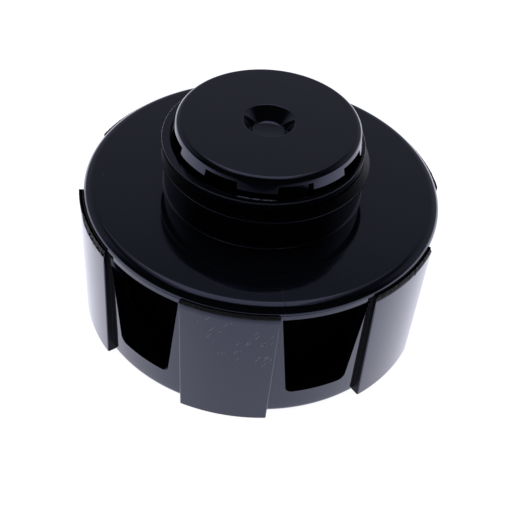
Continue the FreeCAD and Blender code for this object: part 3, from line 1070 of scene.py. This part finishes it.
    def lost(self, angle: float) -> float:
        """Works out the wear of a pad's outer top edge.

        Args:
            angle: where round the axis.

        Returns:
            How much of the edge is worn or torn away there, in millimetres.
        """
        ragged = noise.noise(Vector((angle * 0.9, 3.0, 0.0)))
        fine = noise.noise(Vector((angle * 3.1, 7.0, 0.0)))
        worn = 0.35 + 0.25 * ragged + 0.1 * fine
        around = angle % 360.0
        if self.torn_stretch[0] < around < self.torn_stretch[1]:
            deep = min((around - self.torn_stretch[0]) / self.torn_run_in, 1.0)
            return worn + deep * (1.45 + 0.6 * ragged + 0.35 * fine)
        if self.scuffed_stretch[0] < around < self.scuffed_stretch[1]:
            return worn + 0.35
        if self.chipped_stretch[0] < around < self.chipped_stretch[1]:
            return worn + 0.75 + 0.4 * max(ragged, 0.0)
        if self.whole_stretch[0] < around < self.whole_stretch[1]:
            return 0.0
        return max(worn, 0.0)

    def wear_edge(self, mesh: bmesh.types.BMesh, middle: float) -> None:
        """Lowers a pad's outer top edge by what it has lost.

        Args:
            mesh: the cup.
            middle: the angle of the pad's middle.
        """
        top = self.bar_top + self.ledge_rise
        for vertex in mesh.verts:
            radius, angle = polar(vertex.co)
            height = vertex.co.z
            if radius < self.rim_radius + self.pad_rise - 0.15 or height < self.bar_top - 1.0:
                continue
            if abs(wrap(angle - middle)) > self.pad_reach:
                continue
            edge = top - self.lost(angle)
            if height > top - TOUCH or edge < height + 0.35:
                set_polar(vertex, radius - 0.2 * (top - edge), angle, edge)

    def dress(self, mesh: bmesh.types.BMesh) -> None:
        """Marks the inside and pad sides with painted shade, and the torn stretches of the pads'
        edges.

        Args:
            mesh: the finished cup.
        """
        mesh.normal_update()
        for face in mesh.faces:
            centre = face.calc_center_median()
            radius, angle = polar(centre)
            # The cup's inside takes the darker copy: painted shade
            if centre.z > self.floor - 0.1 and radius < self.inner(centre.z) + 0.05:
                face.material_index = 1
            if radius < self.skirt(centre.z) + 0.05:
                continue
            outwards = abs(face.normal.dot(Vector((centre.x, centre.y, 0.0)).normalized()))
            level = centre.z > self.bar_top - 2.2
            bare = self.bare_stretch[0] < angle % 360.0 < self.bare_stretch[1]
            # The pads' upright sides take the darker copy: painted shade
            if outwards < 0.35 and abs(face.normal.z) < 0.35:
                face.material_index = 1
            elif level and face.normal.z > 0.2:
                face.material_index = 2 if bare and outwards > 0.05 else 3
            elif level and outwards > 0.5 and radius < self.rim_radius + self.ledge_gap + 0.2:
                face.material_index = 3

    def build(self) -> bpy.types.Object:
        """Builds the crown and dresses it.

        Returns:
            The finished piece.
        """
        mesh = bmesh.new()
        start = self.front_pad - self.pitch / 2
        section = draw_outline(mesh, self.outline(), start, False)
        for _ in range(self.pad_count):
            for sweep, steps in self.columns():
                section = turn(mesh, section, sweep, steps)
        close_up(mesh)
        self.shape(mesh, start)
        bevel(mesh, ring(mesh, self.foot_radius, 0.0), self.foot_round, 6)
        bevel(mesh, ring(mesh, self.foot_radius - self.wall, self.floor),
              self.floor_corner_round, 4)
        for index in range(self.pad_count):
            self.cut_window(mesh, start + self.pitch * index)
            self.raise_pad(mesh, self.front_pad + self.pitch * index)
        close_up(mesh)
        self.round_pads(mesh)
        self.soften(mesh)
        self.dress(mesh)
        piece = make_piece(mesh, "crown", self.material, Body.CAP, Slot.SHELL)
        for material in (self.shaded, self.torn, self.worn):
            piece.data.materials.append(material)
        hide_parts("crown_shell")
        return piece

    def round_pads(self, mesh: bmesh.types.BMesh) -> None:
        """Rounds the grip pads' upright edges below their worn tops.

        Args:
            mesh: the closed cup.
        """
        upright = []
        for edge in sharp_edges(mesh, self.sharp_from):
            low, high = sorted(edge.verts, key=lambda vertex: vertex.co.z)
            outside = all(
                abs(vertex.co.xy.length - self.pad_face(vertex.co.z)) < 0.02
                for vertex in edge.verts
            )
            across = (high.co.xy - low.co.xy).length
            below = high.co.z <= self.bar_top - 2.0
            if outside and below and across <= high.co.z - low.co.z:
                upright.append(edge)
        bevel(mesh, upright, self.pad_edge_round, 3)

    def soften(self, mesh: bmesh.types.BMesh) -> None:
        """Rounds the edges that the mould left slightly soft."""
        bevel(mesh, sharp_edges(mesh, self.sharp_from), self.soft_round, 2)


# ---------------------------------------------------------------- the neck


@dataclass
class Neck:
    """Flange disc, stepped neck with its bead and groove, valve seat and guide posts."""

    material: bpy.types.Material
    shaded: bpy.types.Material
    face: float = 40.25
    flange_top: float = 42.75
    flange_radius: float = 49.8
    flange_round: float = 2.45
    flange_shift: float = 0.13
    flange_ease: float = 1.15
    shank_radius: float = 27.6
    root_round: float = 0.5
    bead_foot: float = 51.55
    bead_radius: float = 28.6
    bead_land: float = 1.05
    bead_top: float = 54.9
    bead_tip_radius: float = 26.8
    groove_radius: float = 26.4
    groove_top: float = 55.9
    top_ring_radius: float = 27.7
    top_ring_round: float = 0.2
    neck_top: float = 58.0
    mouth_radius: float = 26.1
    mouth_depth: float = 1.5
    bore_radius: float = 24.6
    snap_top: float = 51.7
    snap_foot: float = 49.8
    snap_radius: float = 25.3
    seat_hole: float = 10.0
    seat_bead: float = 11.6
    seat_bead_width: float = 1.2
    seat_bead_height: float = 0.8
    post_count: int = 4
    post_inner: float = 14.4
    post_depth: float = 3.0
    post_width: float = 6.0
    post_length: float = 10.0
    ring_shift: float = -0.6
    bead_shift: float = 0.27
    # Nothing inside this radius belongs to the flange's edge
    flange_from: float = 40.0
    # The flash round the mouth: where its middle is and how far it runs each way
    flash_middle: float = -92.0
    flash_half: float = 13.0
    steps: int = 288

    def outline(self) -> list[Corner]:
        """Draws the closed section of flange and neck.

        Returns:
            Its corners.
        """
        half = self.seat_bead_width / 2
        seat = self.face - self.seat_bead_height
        land_top = self.bead_foot + self.bead_land
        return [
            (self.seat_hole, self.face), (self.seat_bead - half, self.face),
            (self.seat_bead - half / 2, seat), (self.seat_bead + half / 2, seat),
            (self.seat_bead + half, self.face), (self.flange_radius, self.face),
            (self.flange_radius, self.flange_top), (self.shank_radius, self.flange_top),
            (self.shank_radius, self.bead_foot), (self.bead_radius, self.bead_foot),
            (self.bead_radius, land_top), (self.bead_tip_radius, self.bead_top),
            (self.groove_radius, self.bead_top), (self.groove_radius, self.groove_top),
            (self.top_ring_radius, self.groove_top), (self.top_ring_radius, self.neck_top),
            (self.mouth_radius, self.neck_top),
            (self.bore_radius, self.neck_top - self.mouth_depth),
            (self.bore_radius, self.snap_top), (self.snap_radius, self.snap_top),
            (self.snap_radius, self.snap_foot), (self.bore_radius, self.snap_foot),
            (self.bore_radius, self.flange_top), (self.seat_hole, self.flange_top),
        ]

    def build(self) -> bpy.types.Object:
        """Builds the neck and dresses it.

        Returns:
            The finished piece.
        """
        mesh = bmesh.new()
        section = draw_outline(mesh, self.outline(), -90.0, True)
        turn(mesh, section, 360.0, self.steps)
        close_up(mesh)
        land_top = self.bead_foot + self.bead_land
        rounds = [
            (self.flange_radius, self.flange_top, self.flange_round, 12),
            (self.shank_radius, self.flange_top, self.root_round, 5),
            (self.top_ring_radius, self.neck_top, self.top_ring_round, 4),
            (self.flange_radius, self.face, 0.1, 2),
            (self.bead_radius, self.bead_foot, 0.15, 2),
            (self.bead_radius, land_top, 0.12, 2),
            (self.bead_tip_radius, self.bead_top, 0.2, 3),
            (self.top_ring_radius, self.groove_top, 0.12, 2),
            (self.mouth_radius, self.neck_top, 0.08, 2),
        ]
        for radius, height, width, segments in rounds:
            bevel(mesh, ring(mesh, radius, height), width, segments)
        self.shift_rings(mesh)
        for index in range(self.post_count):
            self.add_post(mesh, 360.0 * index / self.post_count)
        self.add_flash(mesh)
        # The bead's cone and the groove take the darker copy: painted shade
        for face, radius, _, height in measure(mesh, 0.0):
            if land_top < height < self.groove_top and radius > self.groove_radius - 0.9:
                face.material_index = 1
        piece = make_piece(mesh, "neck", self.material, Body.CAP, Slot.SHELL, 35.0)
        piece.data.materials.append(self.shaded)
        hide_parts("neck_body")
        return piece

    def shift_rings(self, mesh: bmesh.types.BMesh) -> None:
        """Sets flange, bead and top ring a little off the axis, as they were moulded.

        Args:
            mesh: the neck with its edges rounded.
        """
        for vertex in mesh.verts:
            radius, height = vertex.co.xy.length, vertex.co.z
            if height > self.groove_top - 0.05 and radius > self.mouth_radius + 0.5:
                vertex.co.x += self.ring_shift
            elif (self.bead_foot - 0.3 < height < self.bead_top + 0.3
                  and radius > self.groove_radius + 0.1):
                vertex.co.x += self.bead_shift
            elif radius > self.flange_from:
                if radius > self.flange_radius - self.flange_round - 0.01:
                    _, angle = polar(vertex.co)
                    eased = self.flange_radius - (self.flange_radius - radius) * self.flange_ease
                    set_polar(vertex, eased, angle, height)
                vertex.co.x += self.flange_shift

    def add_flash(self, mesh: bmesh.types.BMesh) -> None:
        """Adds the ragged sliver of flash along the front of the mouth's edge.

        Args:
            mesh: the neck.
        """
        made = bmesh.ops.create_grid(mesh, x_segments=90, y_segments=2, size=1.0)["verts"]
        for vertex in made:
            angle = self.flash_middle + self.flash_half * vertex.co.x
            ragged = noise.noise(Vector((angle * 1.7, vertex.co.y * 2.0, 1.0)))
            taper = 1.0 - abs(vertex.co.x) ** 4
            radius = self.mouth_radius + 0.1 + (0.16 * vertex.co.y + 0.14 * ragged) * taper
            height = self.neck_top + 0.02 + (0.12 + 0.12 * ragged) * taper
            set_polar(vertex, radius, angle, height - 0.05 * vertex.co.y)
        faces = list({face for vertex in made for face in vertex.link_faces})
        bmesh.ops.solidify(mesh, geom=faces, thickness=0.05)

    def add_post(self, mesh: bmesh.types.BMesh, angle: float) -> None:
        """Hangs one guide post under the flange, its corners softened.

        Args:
            mesh: the neck.
            angle: where round the axis the post stands.
        """
        middle = Vector((self.post_inner + self.post_depth / 2, 0.0,
                         self.face - self.post_length / 2 + 0.05))
        spin = Matrix.Rotation(math.radians(angle), 4, "Z")
        made = bmesh.ops.create_cube(mesh, size=1.0)["verts"]
        bmesh.ops.scale(mesh, vec=(self.post_depth, self.post_width, self.post_length + 0.1),
                        verts=made)
        bmesh.ops.translate(mesh, vec=middle, verts=made)
        bmesh.ops.transform(mesh, matrix=spin, verts=made)
        bevel(mesh, {edge for vertex in made for edge in vertex.link_edges}, 0.3, 2)


# ---------------------------------------------------------------- the end disc


@dataclass
class EndDisc:
    """Cover of the neck: a dimpled plate whose castellated wall snaps into the bore."""

    material: bpy.types.Material
    top: float = 63.6
    radius: float = 24.85
    flare: float = 1.0
    plate: float = 2.15
    edge_round: float = 1.7
    step_foot: float = 59.6
    tab_radius: float = 24.35
    tab_wall: float = 1.95
    tab_foot: float = 49.95
    tab_count: int = 8
    slot_half: float = 10.95
    front_tab: float = -92.9
    barb_rise: float = 0.65
    barb_top: float = 51.55
    barb_land: float = 0.8
    dimple_radius: float = 7.1
    dimple_floor: float = 4.4
    dimple_depth: float = 3.7
    dimple_wall: float = 1.7
    shift: tuple[float, float] = (0.4, 0.45)
    # Nothing inside this radius belongs to the tabs
    tabs_from: float = 20.0

    @property
    def pitch(self) -> float:
        """The angle from one tab to the next."""
        return 360.0 / self.tab_count

    @property
    def slot_top(self) -> float:
        """Height of the plate's underside."""
        return self.top - self.plate

    @property
    def tab_inner(self) -> float:
        """Inner radius of the tabs."""
        return self.tab_radius - self.tab_wall

    def wall_radius(self, height: float) -> float:
        """Outer radius of the flared wall at a height."""
        return self.radius + self.flare * (self.top - height) / (self.top - self.step_foot)

    def outline(self) -> list[Corner]:
        """Draws the plate's section, from the dimple's floor round to its underside.

        Returns:
            Its corners.
        """
        pit = self.top - self.dimple_depth
        return [
            (0.0, pit), (self.dimple_floor, pit), (self.dimple_radius, self.top),
            (15.0, self.top), (self.radius, self.top),
            (self.wall_radius(self.slot_top), self.slot_top),
            (self.tab_radius, self.slot_top), (self.tab_inner, self.slot_top),
            (self.dimple_radius + self.dimple_wall / 2, self.slot_top),
            (self.dimple_floor + self.dimple_wall, pit - self.dimple_wall),
            (0.0, pit - self.dimple_wall),
        ]

    def edge_angle(self, radius: float) -> float:
        """Angle from a slot's middle to its straight-cut side at a radius."""
        half = self.radius * math.sin(math.radians(self.slot_half))
        return math.degrees(math.asin(half / radius))

    def build(self) -> bpy.types.Object:
        """Builds the end disc and dresses it.

        Returns:
            The finished piece.
        """
        mesh = bmesh.new()
        start = self.front_tab - self.pitch / 2
        section = draw_outline(mesh, self.outline(), start, False)
        for _ in range(self.tab_count):
            for sweep, steps in ((self.slot_half, 6), (self.pitch - 2 * self.slot_half, 16),
                                 (self.slot_half, 6)):
                section = turn(mesh, section, sweep, steps)
        close_up(mesh)
        self.square_slots(mesh, start)
        corner = math.pi / 2 + math.atan2(self.flare, self.top - self.step_foot)
        bevel(mesh, ring(mesh, self.radius, self.top), self.edge_round / math.tan(corner / 2), 10)
        bevel(mesh, ring(mesh, self.dimple_radius, self.top), 0.25, 3)
        bevel(mesh, ring(mesh, self.dimple_floor, self.top - self.dimple_depth), 0.3, 3)
        self.grow_tabs(mesh, start)
        close_up(mesh)
        sharp = [edge for edge in sharp_edges(mesh, 50)
                 if edge.verts[0].co.xy.length > self.tabs_from]
        bevel(mesh, sharp, 0.08, 2)
        plate = [vertex for vertex in mesh.verts if vertex.co.z > self.step_foot - 0.3]
        bmesh.ops.translate(mesh, vec=(*self.shift, 0.0), verts=plate)
        piece = make_piece(mesh, "end_cover", self.material, Body.CAP, Slot.SHELL)
        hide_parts("end_disc")
        return piece

    def square_slots(self, mesh: bmesh.types.BMesh, start: float) -> None:
        """Makes the slots' sides parallel to the slot's own middle line.

        Args:
            mesh: the spun plate.
            start: the angle of the first slot's middle.
        """
        for vertex in mesh.verts:
            radius, angle = polar(vertex.co)
            if abs(vertex.co.z - self.slot_top) > TOUCH or radius < self.tabs_from:
                continue
            column, side = fold(angle, start, self.pitch)
            edge = self.edge_angle(radius)
            if column <= self.slot_half:
                placed = column * edge / self.slot_half
            else:
                share = (column - self.slot_half) / (self.pitch / 2 - self.slot_half)
                placed = edge + (self.pitch / 2 - edge) * share
            set_polar(vertex, radius, angle - side * column + side * placed, vertex.co.z)

    def grow_tabs(self, mesh: bmesh.types.BMesh, start: float) -> None:
        """Extrudes the tabs from the plate's underside, in stages down to their barbs.

        Args:
            mesh: the plate.
            start: the angle of the first slot's middle.
        """
        for index in range(self.tab_count):
            root = [
                face for face, radius, away, height
                in measure(mesh, start + self.pitch * (index + 0.5))
                if abs(height - self.slot_top) <= TOUCH and radius >= self.tab_inner
                and away < self.pitch / 2 - self.edge_angle(radius)
            ]
            faces = grow(mesh, root, self.place_step)
            inner = [face for face in faces
                     if face.calc_center_median().xy.length < self.tab_radius - 0.1]
            stages = [
                (self.barb_top, self.tab_radius),
                (self.barb_top, self.tab_radius + self.barb_rise),
                (self.barb_top - self.barb_land, self.tab_radius + self.barb_rise),
                (self.tab_foot, self.tab_radius),
            ]
            outer = self.tab_radius
            for height, radius in stages:
                inner = self.next_stage(mesh, inner, outer, height, radius)
                outer = radius

    def place_step(self, vertex: bmesh.types.BMVert) -> None:
        """Moves a vertex of a tab's end to the foot of the flared wall.

        Args:
            vertex: the vertex.
        """
        radius, angle = polar(vertex.co)
        if radius > self.tab_radius + 0.1:
            radius = self.wall_radius(self.step_foot)
        set_polar(vertex, radius, angle, self.step_foot)

    def next_stage(self, mesh: bmesh.types.BMesh, faces: list, outer: float, height: float,
                   radius: float) -> list:
        """Extrudes a tab's end to a height and moves its outer side to a radius.

        Args:
            mesh: the plate.
            faces: the tab's end faces.
            outer: the radius of their outer side.
            height: the new height.
            radius: the new outer radius.

        Returns:
            The new end faces.
        """

        def place(vertex: bmesh.types.BMVert) -> None:
            """Moves a vertex to the stage's height, and an outer one to its radius."""
            here, angle = polar(vertex.co)
            set_polar(vertex, radius if here > outer - 0.1 else here, angle, height)

        return grow(mesh, faces, place)


# ---------------------------------------------------------------- the foam filter


@dataclass
class FoamFilter:
    """Foam ring, pressed between the crown's floor and the cage's flange."""

    material: bpy.types.Material
    inner: float = 20.4
    outer: float = 37.0
    foot: float = 3.0
    top: float = 36.95
    corner: float = 1.4
    waist: float = 0.5
    swell: float = 0.3
    dent_mm: float = 6.0
    rows: int = 12
    steps: int = 120

    def build(self) -> bpy.types.Object:
        """Builds the foam ring: soft corners, a slight barrel and an uneven skin.

        Returns:
            The finished piece.
        """
        mesh = bmesh.new()
        heights = [self.foot + (self.top - self.foot) * row / self.rows
                   for row in range(self.rows + 1)]
        outside = [(self.outer - self.bulge(height), height) for height in heights]
        inside = [(self.inner + self.bulge(height) * 0.6, height) for height in reversed(heights)]
        section = draw_outline(mesh, outside + inside, 0.0, True)
        turn(mesh, section, 360.0, self.steps)
        close_up(mesh)
        for radius, height in (outside[0], outside[-1], inside[0], inside[-1]):
            bevel(mesh, ring(mesh, radius, height), self.corner, 3)
        for vertex in mesh.verts:
            radius, angle = polar(vertex.co)
            if self.foot + 0.5 < vertex.co.z < self.top - 0.5:
                dent = noise.noise(vertex.co / self.dent_mm) * self.swell
                middle = (self.inner + self.outer) / 2
                radius += -abs(dent) if radius > middle else abs(dent)
                set_polar(vertex, radius, angle, vertex.co.z)
        piece = make_piece(mesh, "foam_ring", self.material, Body.CAP, Slot.FOAM)
        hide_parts("foam_filter")
        return piece

    def bulge(self, height: float) -> float:
        """How far the side stands back at a height: nothing in the middle."""
        share = (height - self.foot) / (self.top - self.foot) * 2 - 1
        return self.waist * share ** 2


# ---------------------------------------------------------------- the springs


@dataclass
class CoilSpring:
    """Helical spring with ends ground flat."""

    node: str
    name: str
    material: bpy.types.Material
    body: Body
    joint: str
    coil_radius: float
    wire_radius: float
    turns: int
    foot: float
    top: float
    travel: float
    held_at_top: bool = False
    wire_sides: int = 12
    steps: int = 40

    def build(self) -> bpy.types.Object:
        """Winds the wire and grinds its ends.

        Returns:
            The finished piece.
        """
        mesh = bmesh.new()
        start = Matrix.Translation((self.coil_radius, 0, self.foot))
        made = bmesh.ops.create_circle(mesh, cap_ends=True, segments=self.wire_sides,
                                       radius=self.wire_radius,
                                       matrix=start @ Matrix.Rotation(math.pi / 2, 4, "X"))
        section = made["verts"] + mesh.edges[:] + mesh.faces[:]
        count = self.turns * self.steps
        bmesh.ops.spin(mesh, geom=section, cent=(0, 0, 0), axis=(0, 0, 1),
                       dvec=(0, 0, (self.top - self.foot) / count),
                       angle=2 * math.pi * self.turns, steps=count, use_merge=False,
                       use_duplicate=False)
        for height, way in ((self.foot, -1), (self.top, 1)):
            self.grind(mesh, height, way)
        close_up(mesh)
        piece = make_piece(mesh, self.name, self.material, self.body, Slot.SPRING, 50)
        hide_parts(self.node)
        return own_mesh(piece)

    def grind(self, mesh: bmesh.types.BMesh, height: float, way: int) -> None:
        """Cuts off and closes what stands past an end.

        Args:
            mesh: the wound wire.
            height: the end's height.
            way: 1 to cut what is above it, -1 for what is below.
        """
        cut = bmesh.ops.bisect_plane(mesh, geom=mesh.verts[:] + mesh.edges[:] + mesh.faces[:],
                                     dist=1e-4, plane_co=(0, 0, height), plane_no=(0, 0, way),
                                     clear_outer=True)
        rims = [part for part in cut["geom_cut"] if isinstance(part, bmesh.types.BMEdge)]
        bmesh.ops.holes_fill(mesh, edges=rims, sides=0)


# ---------------------------------------------------------------- carried-over nodes


def dress_inner_pieces(nodes: dict[str, bpy.types.Object], steel: bpy.types.Material) -> None:
    """Gives the valve, cage and seal nodes of the frame their real finishes.

    Args:
        nodes: the frame's nodes by name.
        steel: the finish of the springs and the clip.
    """
    # Zinc plate under a black passivation: dark with a soft, slightly cloudy shine
    zinc = Metal("black_zinc_steel", light="2C2D31", dark="1D1E21", roughness=0.5,
                 pattern_mm=1.2, stretch=(1, 1, 1), depth_mm=0.004)
    # Brass: turned, its colour darkened to a deep brown as painted shade for the dark bore it
    # stands in, so fine rings barely catch the light
    brass = Metal("turned_brass", light="33291A", dark="1E180F", roughness=0.55,
                  pattern_mm=0.5, stretch=(0.2, 0.2, 4), depth_mm=0.006)
    finishes = {
        GrainedNylon().build(): ("filter_cage",),
        Nitrile().build(): ("cage_gasket", "relief_seal", "vacuum_seal"),
        steel: ("stem_clip",),
        zinc.build(): ("spring_seat", "relief_plate", "stem_washer"),
        brass.build(): ("vacuum_poppet",),
    }
    for material, names in finishes.items():
        for name in names:
            node = nodes[name]
            if not node.material_slots:
                node.data.materials.append(material)
            for holder in node.material_slots:
                holder.material = material
            LOG.info("dressed %s in %s", name, material.name)


# ---------------------------------------------------------------- stage, light, camera


@dataclass
class Studio:
    """White card, an overhead softbox that is brighter in its core, a dim room, the camera."""

    card_half: float = 1.5
    card_front: float = -0.30
    card_glow: float = 0.97
    card_lilac: str = "F0F0FF"
    card_paper: str = "F4F4F6"
    # The card lies this far under the object, so that the two don't flicker
    card_drop: float = 0.0002
    # Over this stretch of y the card fades in as mirrored by the object: painted shade that
    # darkens the card's front in the cap's reflections
    card_shade_span: tuple[float, float] = (-0.27, -0.03)
    lamp_tint: str = "F6F4FF"
    box_size: tuple[float, float] = (0.66, 0.78)
    box_place: tuple[float, float, float] = (-0.05, 0.2, 0.72)
    box_watts: float = 0.42
    core_size: tuple[float, float] = (0.42, 0.56)
    core_place: tuple[float, float, float] = (-0.04, 0.17, 0.715)
    core_watts: float = 0.42
    lens: float = 77.5
    camera_place: tuple[float, float, float] = (0.00147, -0.2429, 0.2426)
    camera_back: tuple[float, float, float] = (0.0, -0.7257, 0.688)
    camera_right: tuple[float, float, float] = (0.9954, 0.0657, 0.0693)

    def build(self) -> None:
        """Builds the stage, the lights and the camera."""
        self.add_card()
        self.set_world()
        self.add_lamp("softbox", self.box_size, self.box_place, self.box_watts)
        self.add_lamp("softbox_core", self.core_size, self.core_place, self.core_watts)
        self.add_camera()
        view = bpy.context.scene.view_settings
        view.view_transform = "Standard"

    def add_card(self) -> None:
        """A large pale card that looks white and still takes the object's shadow."""
        mesh = bmesh.new()
        bmesh.ops.create_grid(mesh, x_segments=1, y_segments=1, size=self.card_half)
        for vertex in mesh.verts:
            vertex.co.y = max(vertex.co.y, self.card_front)
        data = bpy.data.meshes.new("card")
        mesh.to_mesh(data)
        mesh.free()
        # Coated paper: even white to the camera, and a soft lilac-white mirrored in the cap,
        # darkened towards the front by painted shade
        material, tree, place = new_material("white_card")
        rays = add_node(tree, "ShaderNodeLightPath")
        seen = add_node(tree, "ShaderNodeMath", {
            0: rays.outputs["Is Camera Ray"], 1: rays.outputs["Is Transmission Ray"],
        }, operation="MAXIMUM")
        split = add_node(tree, "ShaderNodeSeparateXYZ", {"Vector": place})
        near = add_node(tree, "ShaderNodeMapRange", {
            "Value": split.outputs["Y"], "From Min": self.card_shade_span[0],
            "From Max": self.card_shade_span[1],
        })
        # Painted shade: the mirrored card darkens to black towards its front
        front_fade_shade = set_ramp(add_node(tree, "ShaderNodeValToRGB", {"Fac": near.outputs["Result"]}), [
            (0.0, "000000"), (0.35, "7E7E7E"), (0.7, "F1F1F1"), (1.0, "FFFFFF"),
        ])
        mirrored = add_node(tree, "ShaderNodeMath", {
            0: rays.outputs["Is Glossy Ray"], 1: front_fade_shade.outputs["Color"],
        }, operation="MULTIPLY")
        both = add_node(tree, "ShaderNodeMath", {
            0: seen.outputs[0], 1: mirrored.outputs[0],
        }, operation="MAXIMUM")
        share = add_node(tree, "ShaderNodeMath", {
            0: both.outputs[0], 1: self.card_glow,
        }, operation="MULTIPLY")
        pulp = add_node(tree, "ShaderNodeBsdfDiffuse", {"Color": linear(self.card_paper)})
        tone = add_node(tree, "ShaderNodeMix", {
            "Factor": rays.outputs["Is Glossy Ray"], 6: linear("FFFFFF"),
            7: linear(self.card_lilac),
        }, data_type="RGBA")
        glow = add_node(tree, "ShaderNodeEmission", {
            "Color": tone.outputs[2], "Strength": share.outputs[0],
        })
        card_shader = add_node(tree, "ShaderNodeAddShader", {
            0: pulp.outputs[0], 1: glow.outputs[0],
        })
        add_node(tree, "ShaderNodeOutputMaterial", {"Surface": card_shader.outputs[0]})
        data.materials.append(material)
        card = bpy.data.objects.new("card", data)
        bpy.context.scene.collection.objects.link(card)
        card.location.z = -self.card_drop

    def set_world(self) -> None:
        """White behind the object; for its reflections a room that is dark in front."""
        world = bpy.data.worlds.new("studio")
        world.use_nodes = True
        tree = world.node_tree
        tree.nodes.clear()
        way = add_node(tree, "ShaderNodeTexCoord").outputs["Generated"]
        split = add_node(tree, "ShaderNodeSeparateXYZ", {"Vector": way})
        up = set_ramp(add_node(tree, "ShaderNodeValToRGB", {"Fac": split.outputs["Z"]}), [
            (0.0, "7A7B84"), (0.45, "80818A"), (0.66, "72737A"), (0.76, "3C3D42"),
            (1.0, "3C3D42"),
        ])
        behind = add_node(tree, "ShaderNodeMapRange", {
            "Value": split.outputs["Y"], "From Min": -0.25, "From Max": 0.3,
            "To Min": 0.06, "To Max": 1.0,
        }, interpolation_type="SMOOTHSTEP")
        room = add_node(tree, "ShaderNodeMix", {
            "Factor": behind.outputs["Result"], 6: linear("000000"), 7: up.outputs["Color"],
        }, data_type="RGBA")
        rays = add_node(tree, "ShaderNodeLightPath")
        shown = add_node(tree, "ShaderNodeMix", {
            "Factor": rays.outputs["Is Camera Ray"], 6: room.outputs[2], 7: linear("FFFFFF"),
        }, data_type="RGBA")
        back = add_node(tree, "ShaderNodeBackground", {"Color": shown.outputs[2]})
        add_node(tree, "ShaderNodeOutputWorld", {"Surface": back.outputs[0]})
        bpy.context.scene.world = world

    def add_lamp(self, name: str, size: tuple[float, float], place: tuple[float, float, float],
                 watts: float) -> None:
        """Hangs a rectangular lamp that shines straight down.

        Args:
            name: the lamp's name.
            size: its width and depth in metres.
            place: its middle.
            watts: its power.
        """
        lamp = bpy.data.lights.new(name, "AREA")
        lamp.shape = "RECTANGLE"
        lamp.size, lamp.size_y = size
        lamp.energy = watts
        lamp.color = linear(self.lamp_tint)[:3]
        holder = bpy.data.objects.new(name, lamp)
        holder.location = place
        bpy.context.scene.collection.objects.link(holder)

    def add_camera(self) -> None:
        """The camera at the photograph's angle: in front, looking 43 degrees down."""
        data = bpy.data.cameras.new("camera")
        data.lens = self.lens
        data.sensor_width = 36.0
        data.clip_start = 0.01
        camera = bpy.data.objects.new("camera", data)
        right = Vector(self.camera_right).normalized()
        back = Vector(self.camera_back).normalized()
        up = back.cross(right).normalized()
        right = up.cross(back)
        turned = Matrix((right, up, back)).transposed().to_4x4()
        camera.matrix_world = Matrix.Translation(self.camera_place) @ turned
        bpy.context.scene.collection.objects.link(camera)
        bpy.context.scene.camera = camera


def main() -> None:
    """Loads the frame, builds each sub-assembly in order, dresses the inner nodes and sets up the
    studio.
    """
    logging.basicConfig(level=logging.INFO, format="%(name)s: %(message)s")
    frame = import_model()
    # Moulded nylon: polished and filmed with oil, so it mirrors the light box
    shell = MouldedNylon().build()
    # The same nylon as a dull grey-black copy: painted shade for the cup's inside, the pads'
    # sides and the neck's groove
    shaded = MouldedNylon(name="shaded_nylon", base="0E0F12", tint="8A93A8", level=0.12, film=0.0,
                       roughness=0.4, scratched=False).build()
    # Nylon torn off: matt black crumbs with whitened flecks
    torn = TornNylon().build()
    # Nylon rubbed by use: the same crumbs, worn down to an even charcoal
    worn = TornNylon(name="worn_nylon", base="17181B", fleck="26272C").build()
    # Spring steel: cold drawn, so faint dark lines run along the wire
    steel = Metal("drawn_spring_steel", light="A6A7A8", dark="6E7072", roughness=0.28,
                  pattern_mm=0.4, stretch=(1, 1, 0.3), depth_mm=0.004).build()
    assemblies = (
        Crown(shell, shaded, torn, worn),
        Neck(shell, shaded),
        EndDisc(shell),
        FoamFilter(OpenCellFoam().build()),
        CoilSpring("relief_spring", "relief_coil", steel, Body.CAP, "relief_slide",
                   coil_radius=9.3, wire_radius=0.75, turns=5, foot=3.8, top=36.45, travel=4.0),
        CoilSpring("vacuum_spring", "vacuum_coil", steel, Body.RELIEF, "vacuum_slide",
                   coil_radius=2.3, wire_radius=0.15, turns=4, foot=28.45, top=36.45,
                   travel=2.0, held_at_top=True),
    )
    for assembly in assemblies:
        piece = assembly.build()
        LOG.info("built %s with %d faces", piece.name, len(piece.data.polygons))
    dress_inner_pieces(frame["nodes"], steel)
    Studio().build()


if __name__ == "__main__":
    main()
